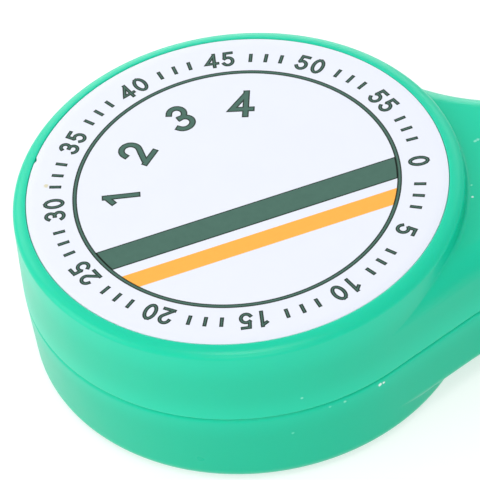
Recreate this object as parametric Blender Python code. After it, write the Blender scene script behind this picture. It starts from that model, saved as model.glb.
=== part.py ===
"""A hand dispenser for desoldering braid: a flat round case with a nose, in two moulded halves.

The case lies on its base with the nose along +X. The origin is the centre of the base face, on
the axis of the reel inside. All lengths are in metres.
"""

import math

import bmesh
import bpy
from mathutils import Matrix, Vector

MM = 0.001

# Round body of the case
SEAM_RADIUS = 20.57 * MM
CASE_HEIGHT = 16.9 * MM
SEAM_HEIGHT = 8.67 * MM
RIM_ROUNDING = 0.4 * MM
BASE_ROUNDING = 1.5 * MM
DRAFT_ANGLE = math.radians(2.0)

# Nose of the case
NOSE_LENGTH = 42.0 * MM
NOSE_HALF_WIDTH = 9.2 * MM
NOSE_TOP = 14.95 * MM
NOSE_BOTTOM = 1.85 * MM
NOSE_UPPER_ROUNDING = 2.2 * MM
NOSE_LOWER_ROUNDING = 1.5 * MM
NOSE_CORNER_RADIUS = 4.0 * MM
LEAST_CORNER_RADIUS = 0.3 * MM
NECK_RADIUS = 18.0 * MM
FLANK_START_ANGLE = math.radians(56.5)

# Walls and joints between the two halves
SIDE_WALL = 1.8 * MM
FLOOR_THICKNESS = 1.5 * MM
ROOF_THICKNESS = 1.4 * MM
SEAM_GAP = 0.3 * MM
LIP_THICKNESS = 0.7 * MM
LIP_HEIGHT = 1.5 * MM
FIT_CLEARANCE = 0.3 * MM

# Printed label in its recess
LABEL_MARGIN = 1.57 * MM
LABEL_THICKNESS = 0.2 * MM
LABEL_BELOW_RIM = 0.05 * MM
LABEL_EDGE_GAP = 0.1 * MM
ADHESIVE_GAP = 0.1 * MM

# Bearing post and reel
POST_RADIUS = 5.0 * MM
PIN_RADIUS = 2.0 * MM
PIN_LENGTH = 5.0 * MM
HUB_WALL = 1.5 * MM
REEL_SIDE_CLEARANCE = 1.37 * MM
FLANGE_THICKNESS = 1.0 * MM

# Braid, wound in lanes side by side and led out of the nose
BRAID_WIDTH = 3.0 * MM
BRAID_THICKNESS = 0.5 * MM
TURN_PITCH = 0.55 * MM
TURN_LAYERS = 10
LANES = 3
GROOVE_DEPTH = 0.15 * MM
BRAID_TIP_LENGTH = 10.0 * MM
LEAD_BEND_RADIUS = 6.0 * MM
GUIDE_LENGTH = 4.0 * MM
GUIDE_THICKNESS = 1.2 * MM
RIB_ROOT = 0.3 * MM
MOUTH_SIDE_CLEARANCE = 0.5 * MM
MOUTH_END_CLEARANCE = 0.6 * MM

# How finely round forms are divided
CASE_SEGMENTS = 64
REEL_SEGMENTS = 48
COIL_SEGMENTS = 36
POST_SEGMENTS = 24
ROUNDING_STEPS = 3
NECK_STEPS = 6
CORNER_STEPS = 5
BEND_STEPS = 5
CUT_MARGIN = 2.0 * MM

# Colours as linear RGB
MINT_PLASTIC = (0.035, 0.578, 0.352)
LABEL_WHITE = (0.86, 0.90, 0.96)
REEL_PLASTIC = (0.80, 0.80, 0.76)
COPPER = (0.83, 0.40, 0.21)

# Heights and radii that follow from the sizes above
LABEL_RADIUS = SEAM_RADIUS - LABEL_MARGIN
LABEL_TOP = CASE_HEIGHT - LABEL_BELOW_RIM
LABEL_BOTTOM = LABEL_TOP - LABEL_THICKNESS
RECESS_FLOOR = LABEL_BOTTOM - ADHESIVE_GAP
CAVITY_TOP = RECESS_FLOOR - ROOF_THICKNESS
UPPER_EDGE = SEAM_HEIGHT + SEAM_GAP / 2
LOWER_EDGE = SEAM_HEIGHT - SEAM_GAP / 2
LIP_TOP = LOWER_EDGE + LIP_HEIGHT
LIP_INSET = SIDE_WALL - LIP_THICKNESS
CAVITY_RADIUS = SEAM_RADIUS - SIDE_WALL
FLANGE_RADIUS = CAVITY_RADIUS - REEL_SIDE_CLEARANCE
REEL_BOTTOM = FLOOR_THICKNESS + FIT_CLEARANCE
REEL_TOP = CAVITY_TOP - FIT_CLEARANCE
REEL_BORE = POST_RADIUS + FIT_CLEARANCE
HUB_RADIUS = REEL_BORE + HUB_WALL
COIL_INNER = HUB_RADIUS + FIT_CLEARANCE
COIL_OUTER = COIL_INNER + TURN_LAYERS * TURN_PITCH
COIL_BOTTOM = REEL_BOTTOM + FLANGE_THICKNESS + FIT_CLEARANCE
COIL_TOP = REEL_TOP - FLANGE_THICKNESS - FIT_CLEARANCE
LANE_WIDTH = (COIL_TOP - COIL_BOTTOM) / LANES
LEAD_LEVEL = (COIL_BOTTOM + COIL_TOP) / 2
MOUTH_HALF_WIDTH = BRAID_THICKNESS / 2 + MOUTH_SIDE_CLEARANCE
MOUTH_HALF_HEIGHT = BRAID_WIDTH / 2 + MOUTH_END_CLEARANCE
GUIDE_END = NOSE_LENGTH - SIDE_WALL
GUIDE_START = GUIDE_END - GUIDE_LENGTH


def clear_scene():
    """Remove everything that the startup file holds."""
    for obj in list(bpy.data.objects):
        bpy.data.objects.remove(obj, do_unlink=True)


def plastic_or_metal(name, colour, roughness, metallic=0.0):
    """Make a Principled material of one colour."""
    material = bpy.data.materials.new(name)
    material.use_nodes = True
    shader = material.node_tree.nodes["Principled BSDF"]
    shader.inputs["Base Color"].default_value = (*colour, 1.0)
    shader.inputs["Roughness"].default_value = roughness
    shader.inputs["Metallic"].default_value = metallic
    return material


def new_object(name, bm, material=None, smooth_angle=math.radians(35)):
    """Turn a bmesh into an object, with its rounded faces shaded smooth."""
    bmesh.ops.recalc_face_normals(bm, faces=bm.faces)
    mesh = bpy.data.meshes.new(name)
    bm.to_mesh(mesh)
    bm.free()
    mesh.shade_smooth()
    mesh.set_sharp_from_angle(angle=smooth_angle)
    if material:
        mesh.materials.append(material)
    obj = bpy.data.objects.new(name, mesh)
    bpy.context.scene.collection.objects.link(obj)
    return obj


def as_helper(obj):
    """Keep an object out of the model: it only cuts or joins."""
    obj.hide_render = True
    obj.display_type = "WIRE"
    return obj


def turned(name, profile, segments, material=None):
    """Spin a closed profile of (radius, height) points round the Z axis."""
    bm = bmesh.new()
    points = [bm.verts.new((radius, 0.0, height)) for radius, height in profile]
    pairs = zip(points, points[1:] + points[:1])
    edges = [bm.edges.new(pair) for pair in pairs if pair[0].co.x + pair[1].co.x > 0]
    bmesh.ops.spin(
        bm,
        geom=points + edges,
        axis=(0, 0, 1),
        cent=(0, 0, 0),
        steps=segments,
        angle=math.tau,
        use_merge=True,
    )
    bmesh.ops.remove_doubles(bm, verts=bm.verts, dist=1e-7)
    return new_object(name, bm, material)


def lofted(name, rings, material=None):
    """Bridge rings of points, from the bottom ring to the top one, and cap both ends."""
    bm = bmesh.new()
    loops = [[bm.verts.new(point) for point in ring] for ring in rings]
    for below, above in zip(loops, loops[1:]):
        count = len(below)
        for i in range(count):
            j = (i + 1) % count
            bm.faces.new((below[i], below[j], above[j], above[i]))
    bm.faces.new(reversed(loops[0]))
    bm.faces.new(loops[-1])
    return new_object(name, bm, material)


def box(name, low, high):
    """Make a box between two corners."""
    bm = bmesh.new()
    size = Vector(high) - Vector(low)
    middle = (Vector(high) + Vector(low)) / 2
    bmesh.ops.create_cube(bm, matrix=Matrix.Translation(middle) @ Matrix.Diagonal((*size, 1)))
    return new_object(name, bm)


def combine(target, operation, other):
    """Add a Boolean modifier that joins a helper to the target, or cuts it away."""
    as_helper(other)
    modifier = target.modifiers.new(other.name, "BOOLEAN")
    modifier.operation = operation
    modifier.solver = "EXACT"
    modifier.object = other


def arc(centre, radius, start, end, steps):
    """Points on an arc in plan, both ends included."""
    angles = [start + (end - start) * i / steps for i in range(steps + 1)]
    return [(centre[0] + radius * math.cos(a), centre[1] + radius * math.sin(a)) for a in angles]


def nose_side(inset):
    """One side of the nose in plan, from where it leaves the round body to the middle of the tip.

    The flank is tangent to the round body, bends through the concave neck and runs on parallel
    to X. An inset moves the whole side inwards by an even distance.
    """
    start = FLANK_START_ANGLE
    radius = SEAM_RADIUS - inset
    tangent = (radius * math.cos(start), radius * math.sin(start))
    neck_y = NOSE_HALF_WIDTH + NECK_RADIUS
    neck_x = (SEAM_RADIUS + NECK_RADIUS - neck_y * math.sin(start)) / math.cos(start)
    neck = arc((neck_x, neck_y), NECK_RADIUS + inset, start + math.pi, 1.5 * math.pi, NECK_STEPS)
    corner_radius = max(NOSE_CORNER_RADIUS - inset, LEAST_CORNER_RADIUS)
    corner_centre = (
        NOSE_LENGTH - inset - corner_radius,
        NOSE_HALF_WIDTH - inset - corner_radius,
    )
    corner = arc(corner_centre, corner_radius, math.pi / 2, 0.0, CORNER_STEPS)
    return [tangent] + neck + corner


def mirrored(side):
    """Complete one side of an outline with its mirror image, anticlockwise from the lower side."""
    return [(x, -y) for x, y in side] + [(x, y) for x, y in reversed(side)]


def nose_outline(inset):
    """The nose in plan, with its root well inside the round body."""
    side = nose_side(inset)
    root = (0.0, side[0][1] * 0.8)
    return mirrored([root] + side)


def case_outline(inset):
    """The whole case in plan: the round body and the nose."""
    start = FLANK_START_ANGLE
    back_steps = round(CASE_SEGMENTS * (1 - start / math.pi))
    back = arc((0, 0), SEAM_RADIUS - inset, start, math.tau - start, back_steps)
    return mirrored(nose_side(inset)) + back[1:-1]


def at_height(outline, height):
    """Lift a plan outline to a height."""
    return [(x, y, height) for x, y in outline]


def prism(name, outline, bottom, top):
    """Extrude a plan outline between two heights."""
    return lofted(name, [at_height(outline, bottom), at_height(outline, top)])


def draft_inset(height):
    """How far the moulding draft pulls a wall in at a height above or below the seam."""
    return abs(height - SEAM_HEIGHT) * math.tan(DRAFT_ANGLE)


def rounded_edge(edge_height, rounding, inwards):
    """(inset, height) pairs round an edge, from its wall to its flat face.

    The flat face is at edge_height, and inwards is +1 for a face below its wall and -1 for one
    above it.
    """
    start = draft_inset(edge_height + inwards * rounding)
    pairs = []
    for i in range(ROUNDING_STEPS + 1):
        angle = math.pi / 2 * i / ROUNDING_STEPS
        inset = start + rounding * (1 - math.cos(angle))
        pairs.append((inset, edge_height + inwards * rounding * (1 - math.sin(angle))))
    return pairs


def outer_lower():
    """The solid outer form of the lower half."""
    edge = rounded_edge(0.0, BASE_ROUNDING, 1)
    profile = [(0.0, 0.0)]
    profile += [(SEAM_RADIUS - inset, height) for inset, height in reversed(edge)]
    profile += [(SEAM_RADIUS, LOWER_EDGE), (0.0, LOWER_EDGE)]
    body = turned("lower_shell", profile, CASE_SEGMENTS)
    edge = rounded_edge(NOSE_BOTTOM, NOSE_LOWER_ROUNDING, 1)
    rings = [at_height(nose_outline(inset), height) for inset, height in reversed(edge)]
    rings.append(at_height(nose_outline(0.0), LOWER_EDGE))
    combine(body, "UNION", lofted("lower_nose", rings))
    return body


def outer_upper():
    """The solid outer form of the upper half."""
    edge = rounded_edge(CASE_HEIGHT, RIM_ROUNDING, -1)
    profile = [(0.0, UPPER_EDGE), (SEAM_RADIUS, UPPER_EDGE)]
    profile += [(SEAM_RADIUS - inset, height) for inset, height in edge]
    profile += [(0.0, CASE_HEIGHT)]
    body = turned("upper_shell", profile, CASE_SEGMENTS)
    edge = rounded_edge(NOSE_TOP, NOSE_UPPER_ROUNDING, -1)
    rings = [at_height(nose_outline(0.0), UPPER_EDGE)]
    rings += [at_height(nose_outline(inset), height) for inset, height in edge]
    combine(body, "UNION", lofted("upper_nose", rings))
    return body


def cylinder(name, radius, bottom, top, segments):
    """A plain cylinder on the Z axis."""
    profile = [(0.0, bottom), (radius, bottom), (radius, top), (0.0, top)]
    return turned(name, profile, segments)


def mouth_cutter(name):
    """The slot through the tip of the nose that the braid comes out of."""
    low = (GUIDE_END - CUT_MARGIN, -MOUTH_HALF_WIDTH, LEAD_LEVEL - MOUTH_HALF_HEIGHT)
    high = (NOSE_LENGTH + CUT_MARGIN, MOUTH_HALF_WIDTH, LEAD_LEVEL + MOUTH_HALF_HEIGHT)
    return box(name, low, high)


def guide_ribs(half, bottom, top):
    """Two ribs inside the nose that the braid runs between, rooted in its walls."""
    ribs = []
    for name, sign in (("near", -1), ("far", 1)):
        sides = sorted((sign * MOUTH_HALF_WIDTH, sign * (MOUTH_HALF_WIDTH + GUIDE_THICKNESS)))
        low = (GUIDE_START, sides[0], bottom)
        high = (GUIDE_END + RIB_ROOT, sides[1], top)
        ribs.append(box(f"{half}_guide_{name}", low, high))
    return ribs


def make_lower_shell(material):
    """The lower half: base, wall, nose floor, lip, bearing post and guide ribs."""
    shell = outer_lower()
    shell.data.materials.append(material)
    lip = prism("lip_block", case_outline(LIP_INSET), LOWER_EDGE - CUT_MARGIN, LIP_TOP)
    combine(shell, "UNION", lip)
    above = LIP_TOP + CUT_MARGIN
    combine(
        shell,
        "DIFFERENCE",
        cylinder("lower_cavity", CAVITY_RADIUS, FLOOR_THICKNESS, above, CASE_SEGMENTS),
    )
    nose_floor = NOSE_BOTTOM + FLOOR_THICKNESS
    nose_cavity = prism("lower_nose_cavity", nose_outline(SIDE_WALL), nose_floor, above)
    combine(shell, "DIFFERENCE", nose_cavity)
    combine(shell, "DIFFERENCE", mouth_cutter("lower_mouth"))
    for rib in guide_ribs("lower", nose_floor - RIB_ROOT, LOWER_EDGE):
        combine(shell, "UNION", rib)
    post_bottom = FLOOR_THICKNESS / 2
    post_top = CAVITY_TOP - FIT_CLEARANCE
    combine(shell, "UNION", cylinder("post", POST_RADIUS, post_bottom, post_top, POST_SEGMENTS))
    bore_bottom = CAVITY_TOP - PIN_LENGTH - FIT_CLEARANCE
    bore = cylinder(
        "post_bore",
        PIN_RADIUS + FIT_CLEARANCE,
        bore_bottom,
        post_top + CUT_MARGIN,
        POST_SEGMENTS,
    )
    combine(shell, "DIFFERENCE", bore)
    return shell


def make_upper_shell(material):
    """The upper half: rim, wall, roof with the label's recess, nose roof, rebate and pin."""
    shell = outer_upper()
    shell.data.materials.append(material)
    below = UPPER_EDGE - CUT_MARGIN
    rebate = case_outline(LIP_INSET - FIT_CLEARANCE)
    combine(shell, "DIFFERENCE", prism("rebate", rebate, below, LIP_TOP + FIT_CLEARANCE))
    combine(
        shell,
        "DIFFERENCE",
        cylinder("upper_cavity", CAVITY_RADIUS, below, CAVITY_TOP, CASE_SEGMENTS),
    )
    nose_roof = NOSE_TOP - FLOOR_THICKNESS
    nose_cavity = prism("upper_nose_cavity", nose_outline(SIDE_WALL), below, nose_roof)
    combine(shell, "DIFFERENCE", nose_cavity)
    combine(shell, "DIFFERENCE", mouth_cutter("upper_mouth"))
    recess_radius = LABEL_RADIUS + LABEL_EDGE_GAP
    recess = cylinder(
        "label_recess", recess_radius, RECESS_FLOOR, CASE_HEIGHT + CUT_MARGIN, CASE_SEGMENTS
    )
    combine(shell, "DIFFERENCE", recess)
    pin_top = CAVITY_TOP + ROOF_THICKNESS / 2
    pin = cylinder("pin", PIN_RADIUS, CAVITY_TOP - PIN_LENGTH, pin_top, POST_SEGMENTS)
    combine(shell, "UNION", pin)
    for rib in guide_ribs("upper", LIP_TOP + FIT_CLEARANCE, nose_roof + RIB_ROOT):
        combine(shell, "UNION", rib)
    return shell


def make_label(material):
    """The round printed label, lying in its recess."""
    profile = [
        (0.0, LABEL_BOTTOM),
        (LABEL_RADIUS, LABEL_BOTTOM),
        (LABEL_RADIUS, LABEL_TOP),
        (0.0, LABEL_TOP),
    ]
    return turned("label", profile, CASE_SEGMENTS, material)


def make_reel(material):
    """The flanged bobbin that turns on the post."""
    profile = [
        (REEL_BORE, REEL_BOTTOM),
        (FLANGE_RADIUS, REEL_BOTTOM),
        (FLANGE_RADIUS, REEL_BOTTOM + FLANGE_THICKNESS),
        (HUB_RADIUS, REEL_BOTTOM + FLANGE_THICKNESS),
        (HUB_RADIUS, REEL_TOP - FLANGE_THICKNESS),
        (FLANGE_RADIUS, REEL_TOP - FLANGE_THICKNESS),
        (FLANGE_RADIUS, REEL_TOP),
        (REEL_BORE, REEL_TOP),
    ]
    return turned("reel", profile, REEL_SEGMENTS, material)


def make_braid_coil(material):
    """The wound braid as one turned ring.

    Its outer side has a shallow groove between the lanes, and each of its ends has one between
    a turn and the next.
    """
    radii = [COIL_INNER + TURN_PITCH * i / 2 for i in range(2 * TURN_LAYERS + 1)]
    sunk = [GROOVE_DEPTH * (i % 2 == 0) for i in range(len(radii))]
    bottom = [(radius, COIL_BOTTOM + depth) for radius, depth in zip(radii, sunk)]
    top = [(radius, COIL_TOP - depth) for radius, depth in zip(radii, sunk)]
    side = []
    for lane in range(LANES):
        low = COIL_BOTTOM + lane * LANE_WIDTH
        if lane > 0:
            side.append((COIL_OUTER - GROOVE_DEPTH, low))
        side.append((COIL_OUTER, low + 2 * GROOVE_DEPTH))
        side.append((COIL_OUTER, low + LANE_WIDTH - 2 * GROOVE_DEPTH))
    profile = bottom[:-1] + side + top[-2::-1]
    return turned("braid_coil", profile, COIL_SEGMENTS, material)


def lead_path():
    """The middle line of the braid in plan, from the coil to its free tip.

    It leaves the coil on a tangent, bends smoothly at the guide ribs and runs straight out of
    the mouth along X.
    """
    coil = COIL_OUTER + FIT_CLEARANCE + BRAID_THICKNESS / 2
    meeting = GUIDE_START - LEAD_BEND_RADIUS / 2
    leave = math.acos(coil / meeting)
    start = Vector((coil * math.cos(leave), coil * math.sin(leave)))
    slope = math.pi / 2 - leave
    run_in = LEAD_BEND_RADIUS * math.tan(slope / 2)
    centre = (meeting + run_in, LEAD_BEND_RADIUS)
    bend = arc(centre, LEAD_BEND_RADIUS, 1.5 * math.pi - slope, 1.5 * math.pi, BEND_STEPS)
    return [tuple(start)] + bend + [(NOSE_LENGTH + BRAID_TIP_LENGTH, 0.0)]


def make_braid_lead(material):
    """The flat braid that runs from the coil through the nose and out of the mouth."""
    path = [Vector(point) for point in lead_path()]
    near, far = [], []
    for i, point in enumerate(path):
        before = path[max(i - 1, 0)]
        after = path[min(i + 1, len(path) - 1)]
        along = (after - before).normalized()
        aside = Vector((-along.y, along.x)) * BRAID_THICKNESS / 2
        near.append(point - aside)
        far.append(point + aside)
    outline = [tuple(point) for point in near + far[::-1]]
    bottom = LEAD_LEVEL - BRAID_WIDTH / 2
    lead = prism("braid_lead", outline, bottom, bottom + BRAID_WIDTH)
    lead.data.materials.append(material)
    return lead


def main():
    """Build every piece, with the two that turn parented to an empty on the reel's axis."""
    clear_scene()
    plastic = plastic_or_metal("mint_plastic", MINT_PLASTIC, 0.38)
    upper_plastic = plastic.copy()
    upper_plastic.name = "mint_plastic_upper"
    make_lower_shell(plastic)
    make_upper_shell(upper_plastic)
    make_label(plastic_or_metal("label_film", LABEL_WHITE, 0.3))
    reel = make_reel(plastic_or_metal("reel_plastic", REEL_PLASTIC, 0.5))
    coil = make_braid_coil(plastic_or_metal("wound_copper", COPPER, 0.4, 1.0))
    make_braid_lead(plastic_or_metal("braided_copper", COPPER, 0.4, 1.0))
    axis = bpy.data.objects.new("reel_axis", None)
    bpy.context.scene.collection.objects.link(axis)
    for obj in (reel, coil):
        obj.parent = axis


main()
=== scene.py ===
"""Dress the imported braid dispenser: moulded case, printed label, reel and woven copper braid.

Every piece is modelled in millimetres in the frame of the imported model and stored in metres. The
case lies on its base, its nose runs along +X and the reel turns about Z.
"""

import logging
import math
from collections.abc import Callable
from dataclasses import dataclass, replace
from enum import Enum

import bmesh
import bpy
import numpy as np
from mathutils import Matrix, Vector
from mathutils.geometry import delaunay_2d_cdt


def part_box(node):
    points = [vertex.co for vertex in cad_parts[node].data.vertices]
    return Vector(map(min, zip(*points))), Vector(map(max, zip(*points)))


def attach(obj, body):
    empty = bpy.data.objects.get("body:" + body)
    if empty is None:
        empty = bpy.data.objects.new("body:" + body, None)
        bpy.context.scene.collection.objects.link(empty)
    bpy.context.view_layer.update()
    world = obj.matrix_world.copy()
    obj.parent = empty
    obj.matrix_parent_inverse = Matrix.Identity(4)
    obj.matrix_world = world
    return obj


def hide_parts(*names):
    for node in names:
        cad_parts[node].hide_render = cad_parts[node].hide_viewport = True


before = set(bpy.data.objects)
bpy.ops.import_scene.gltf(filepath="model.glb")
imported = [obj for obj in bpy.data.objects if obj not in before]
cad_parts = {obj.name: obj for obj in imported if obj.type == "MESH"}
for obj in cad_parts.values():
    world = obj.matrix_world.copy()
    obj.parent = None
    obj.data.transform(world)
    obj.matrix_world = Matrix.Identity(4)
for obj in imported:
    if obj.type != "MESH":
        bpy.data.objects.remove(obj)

MM = 0.001
WELD = 1e-8
TINY = 1e-9
LOG = logging.getLogger("dispenser")

Rows = list[np.ndarray]
Colour = tuple[float, float, float]
Place = tuple[float, float, float]


class Half(Enum):
    """The two moulded halves of the case."""

    UPPER = 1
    LOWER = -1


class Shaping(Enum):
    """How a closed tool changes a piece."""

    JOIN = "UNION"
    CUT = "DIFFERENCE"


class Effect(Enum):
    """The shader effects that finishes share."""

    GRAIN = "fine_grain"
    WEAVE = "flat_weave"
    SCUFF = "scuff_mark"
    # Painted light: the wall painted lighter near the seam and near the top.
    BACKED = "backed_wall"


def corners_mm(node: str) -> tuple[Vector, Vector]:
    """Read a node's box at rest.

    Args:
        node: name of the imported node.

    Returns:
        Its lowest and highest corners, in millimetres.
    """
    low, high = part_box(node)
    return Vector(low) / MM, Vector(high) / MM


def link(name: str, mesh: bpy.types.Mesh) -> bpy.types.Object:
    """Put a mesh into the scene as an object at the origin.

    Args:
        name: name of the object.
        mesh: its mesh, in metres.

    Returns:
        The new object.
    """
    piece = bpy.data.objects.new(name, mesh)
    bpy.context.scene.collection.objects.link(piece)
    return piece


def closed_mesh(name: str, points: np.ndarray, faces: list[tuple[int, ...]]) -> bpy.types.Mesh:
    """Make a mesh whose faces point outwards.

    Args:
        name: name of the mesh.
        points: vertices in millimetres.
        faces: vertex numbers of each face.

    Returns:
        The mesh, in metres.
    """
    mesh = bpy.data.meshes.new(name)
    mesh.from_pydata((points * MM).tolist(), [], faces)
    tidy_mesh(mesh)
    return mesh


def tidy_mesh(mesh: bpy.types.Mesh) -> None:
    """Weld a mesh's doubled points and turn its faces outwards.

    Args:
        mesh: the mesh, in metres.
    """
    bm = bmesh.new()
    bm.from_mesh(mesh)
    bmesh.ops.remove_doubles(bm, verts=bm.verts, dist=WELD)
    bmesh.ops.recalc_face_normals(bm, faces=bm.faces)
    bm.to_mesh(mesh)
    bm.free()
    mesh.update()


def skinned(name: str, rows: Rows, poles: bool = True) -> bpy.types.Mesh:
    """Skin closed rows of points, one after another.

    Args:
        name: name of the mesh.
        rows: rows of equal length, each a closed loop.
        poles: close the first and last rows with a point in their middle, or else join the last
            row to the first.

    Returns:
        The closed mesh.
    """
    count = len(rows[0])
    points = np.concatenate(rows)
    faces = []
    pairs = list(zip(range(len(rows)), range(1, len(rows))))
    if not poles:
        pairs.append((len(rows) - 1, 0))
    for low, high in pairs:
        for i in range(count):
            j = (i + 1) % count
            faces.append((low * count + i, low * count + j, high * count + j, high * count + i))
    if poles:
        tips = np.array([rows[0].mean(axis=0), rows[-1].mean(axis=0)])
        first = len(points)
        points = np.concatenate([points, tips])
        last_row = (len(rows) - 1) * count
        for i in range(count):
            j = (i + 1) % count
            faces.append((first, i, j))
            faces.append((first + 1, last_row + j, last_row + i))
    return closed_mesh(name, points, faces)


def shade(mesh: bpy.types.Mesh, sharp_angle: float = math.radians(40)) -> None:
    """Shade a mesh smooth, with sharp edges kept.

    Args:
        mesh: the mesh.
        sharp_angle: faces that meet at more than this stay sharp.
    """
    mesh.shade_smooth()
    mesh.set_sharp_from_angle(angle=sharp_angle)


def ring(angles: np.ndarray, radius: float | np.ndarray, height: float) -> np.ndarray:
    """Make a round row of points about the reel's axis.

    Args:
        angles: direction of each point in plan.
        radius: one radius, or one for each point.
        height: height of the row.

    Returns:
        The row.
    """
    x, y = radius * np.cos(angles), radius * np.sin(angles)
    return np.stack([x, y, np.full_like(x, height)], 1)


def evaluated(piece: bpy.types.Object) -> bpy.types.Mesh:
    """Turn a piece's shape, with its modifiers, into a plain mesh.

    Args:
        piece: the object.

    Returns:
        The new mesh.
    """
    graph = bpy.context.evaluated_depsgraph_get()
    return bpy.data.meshes.new_from_object(piece.evaluated_get(graph), depsgraph=graph)


def combine(piece: bpy.types.Object, shaping: Shaping, *tools: bpy.types.Object) -> None:
    """Cut or join a piece with closed tools, and remove the tools.

    Args:
        piece: the object to change.
        shaping: join the tools to the piece, or cut them out of it.
        tools: the closed objects to use.
    """
    for tool in tools:
        modifier = piece.modifiers.new("shape", "BOOLEAN")
        modifier.operation, modifier.solver, modifier.object = shaping.value, "EXACT", tool
    mesh = evaluated(piece)
    piece.modifiers.clear()
    piece.data = mesh
    for tool in tools:
        bpy.data.objects.remove(tool)


class Wiring:
    """Adds nodes to one tree and wires their sockets."""

    SOCKETS = {
        int: "NodeSocketInt",
        float: "NodeSocketFloat",
        tuple: "NodeSocketVector",
        type(None): "NodeSocketMaterial",
    }

    def __init__(self, tree: bpy.types.NodeTree) -> None:
        """Start wiring a tree."""
        self.tree = tree

    def node(self, kind: str, inputs: dict | None = None, **settings: object) -> bpy.types.Node:
        """Add a node.

        Args:
            kind: type name of the node.
            inputs: value or source socket for each named or numbered input.
            settings: attributes of the node.

        Returns:
            The new node.
        """
        node = self.tree.nodes.new(kind)
        for key, value in settings.items():
            setattr(node, key, value)
        for key, value in (inputs or {}).items():
            self.feed(node.inputs[key], value)
        return node

    def feed(self, socket: bpy.types.NodeSocket, value: object) -> None:
        """Link a source socket to an input, or set the input's own value.

        Args:
            socket: the input.
            value: the source socket, or the value.
        """
        if isinstance(value, bpy.types.NodeSocket):
            self.tree.links.new(value, socket)
        else:
            socket.default_value = value

    def maths(self, operation: str, *values: object) -> bpy.types.NodeSocket:
        """Add a Math node.

        Args:
            operation: what it works out.
            values: value or source socket for each of its inputs.

        Returns:
            The socket that puts out the result.
        """
        node = self.tree.nodes.new("ShaderNodeMath")
        node.operation = operation
        for socket, value in zip(node.inputs, values):
            self.feed(socket, value)
        return node.outputs[0]

    def group_inputs(self, values: dict[str, object]) -> bpy.types.NodeOutputs:
        """Give the tree named inputs.

        Args:
            values: the default of each input; None stands for a material.

        Returns:
            The sockets that bring the inputs into the tree.
        """
        for name, value in values.items():
            kind = self.SOCKETS[type(value)]
            socket = self.tree.interface.new_socket(name, in_out="INPUT", socket_type=kind)
            if value is not None:
                socket.default_value = value
        return self.tree.nodes.new("NodeGroupInput").outputs

    def group_outputs(self, sources: dict[str, tuple[str, bpy.types.NodeSocket]]) -> None:
        """Give the tree named outputs.

        Args:
            sources: the socket type and the source of each output.
        """
        for name, (kind, _) in sources.items():
            self.tree.interface.new_socket(name, in_out="OUTPUT", socket_type=kind)
        out = self.tree.nodes.new("NodeGroupOutput")
        for name, (_, source) in sources.items():
            self.feed(out.inputs[name], source)


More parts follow.
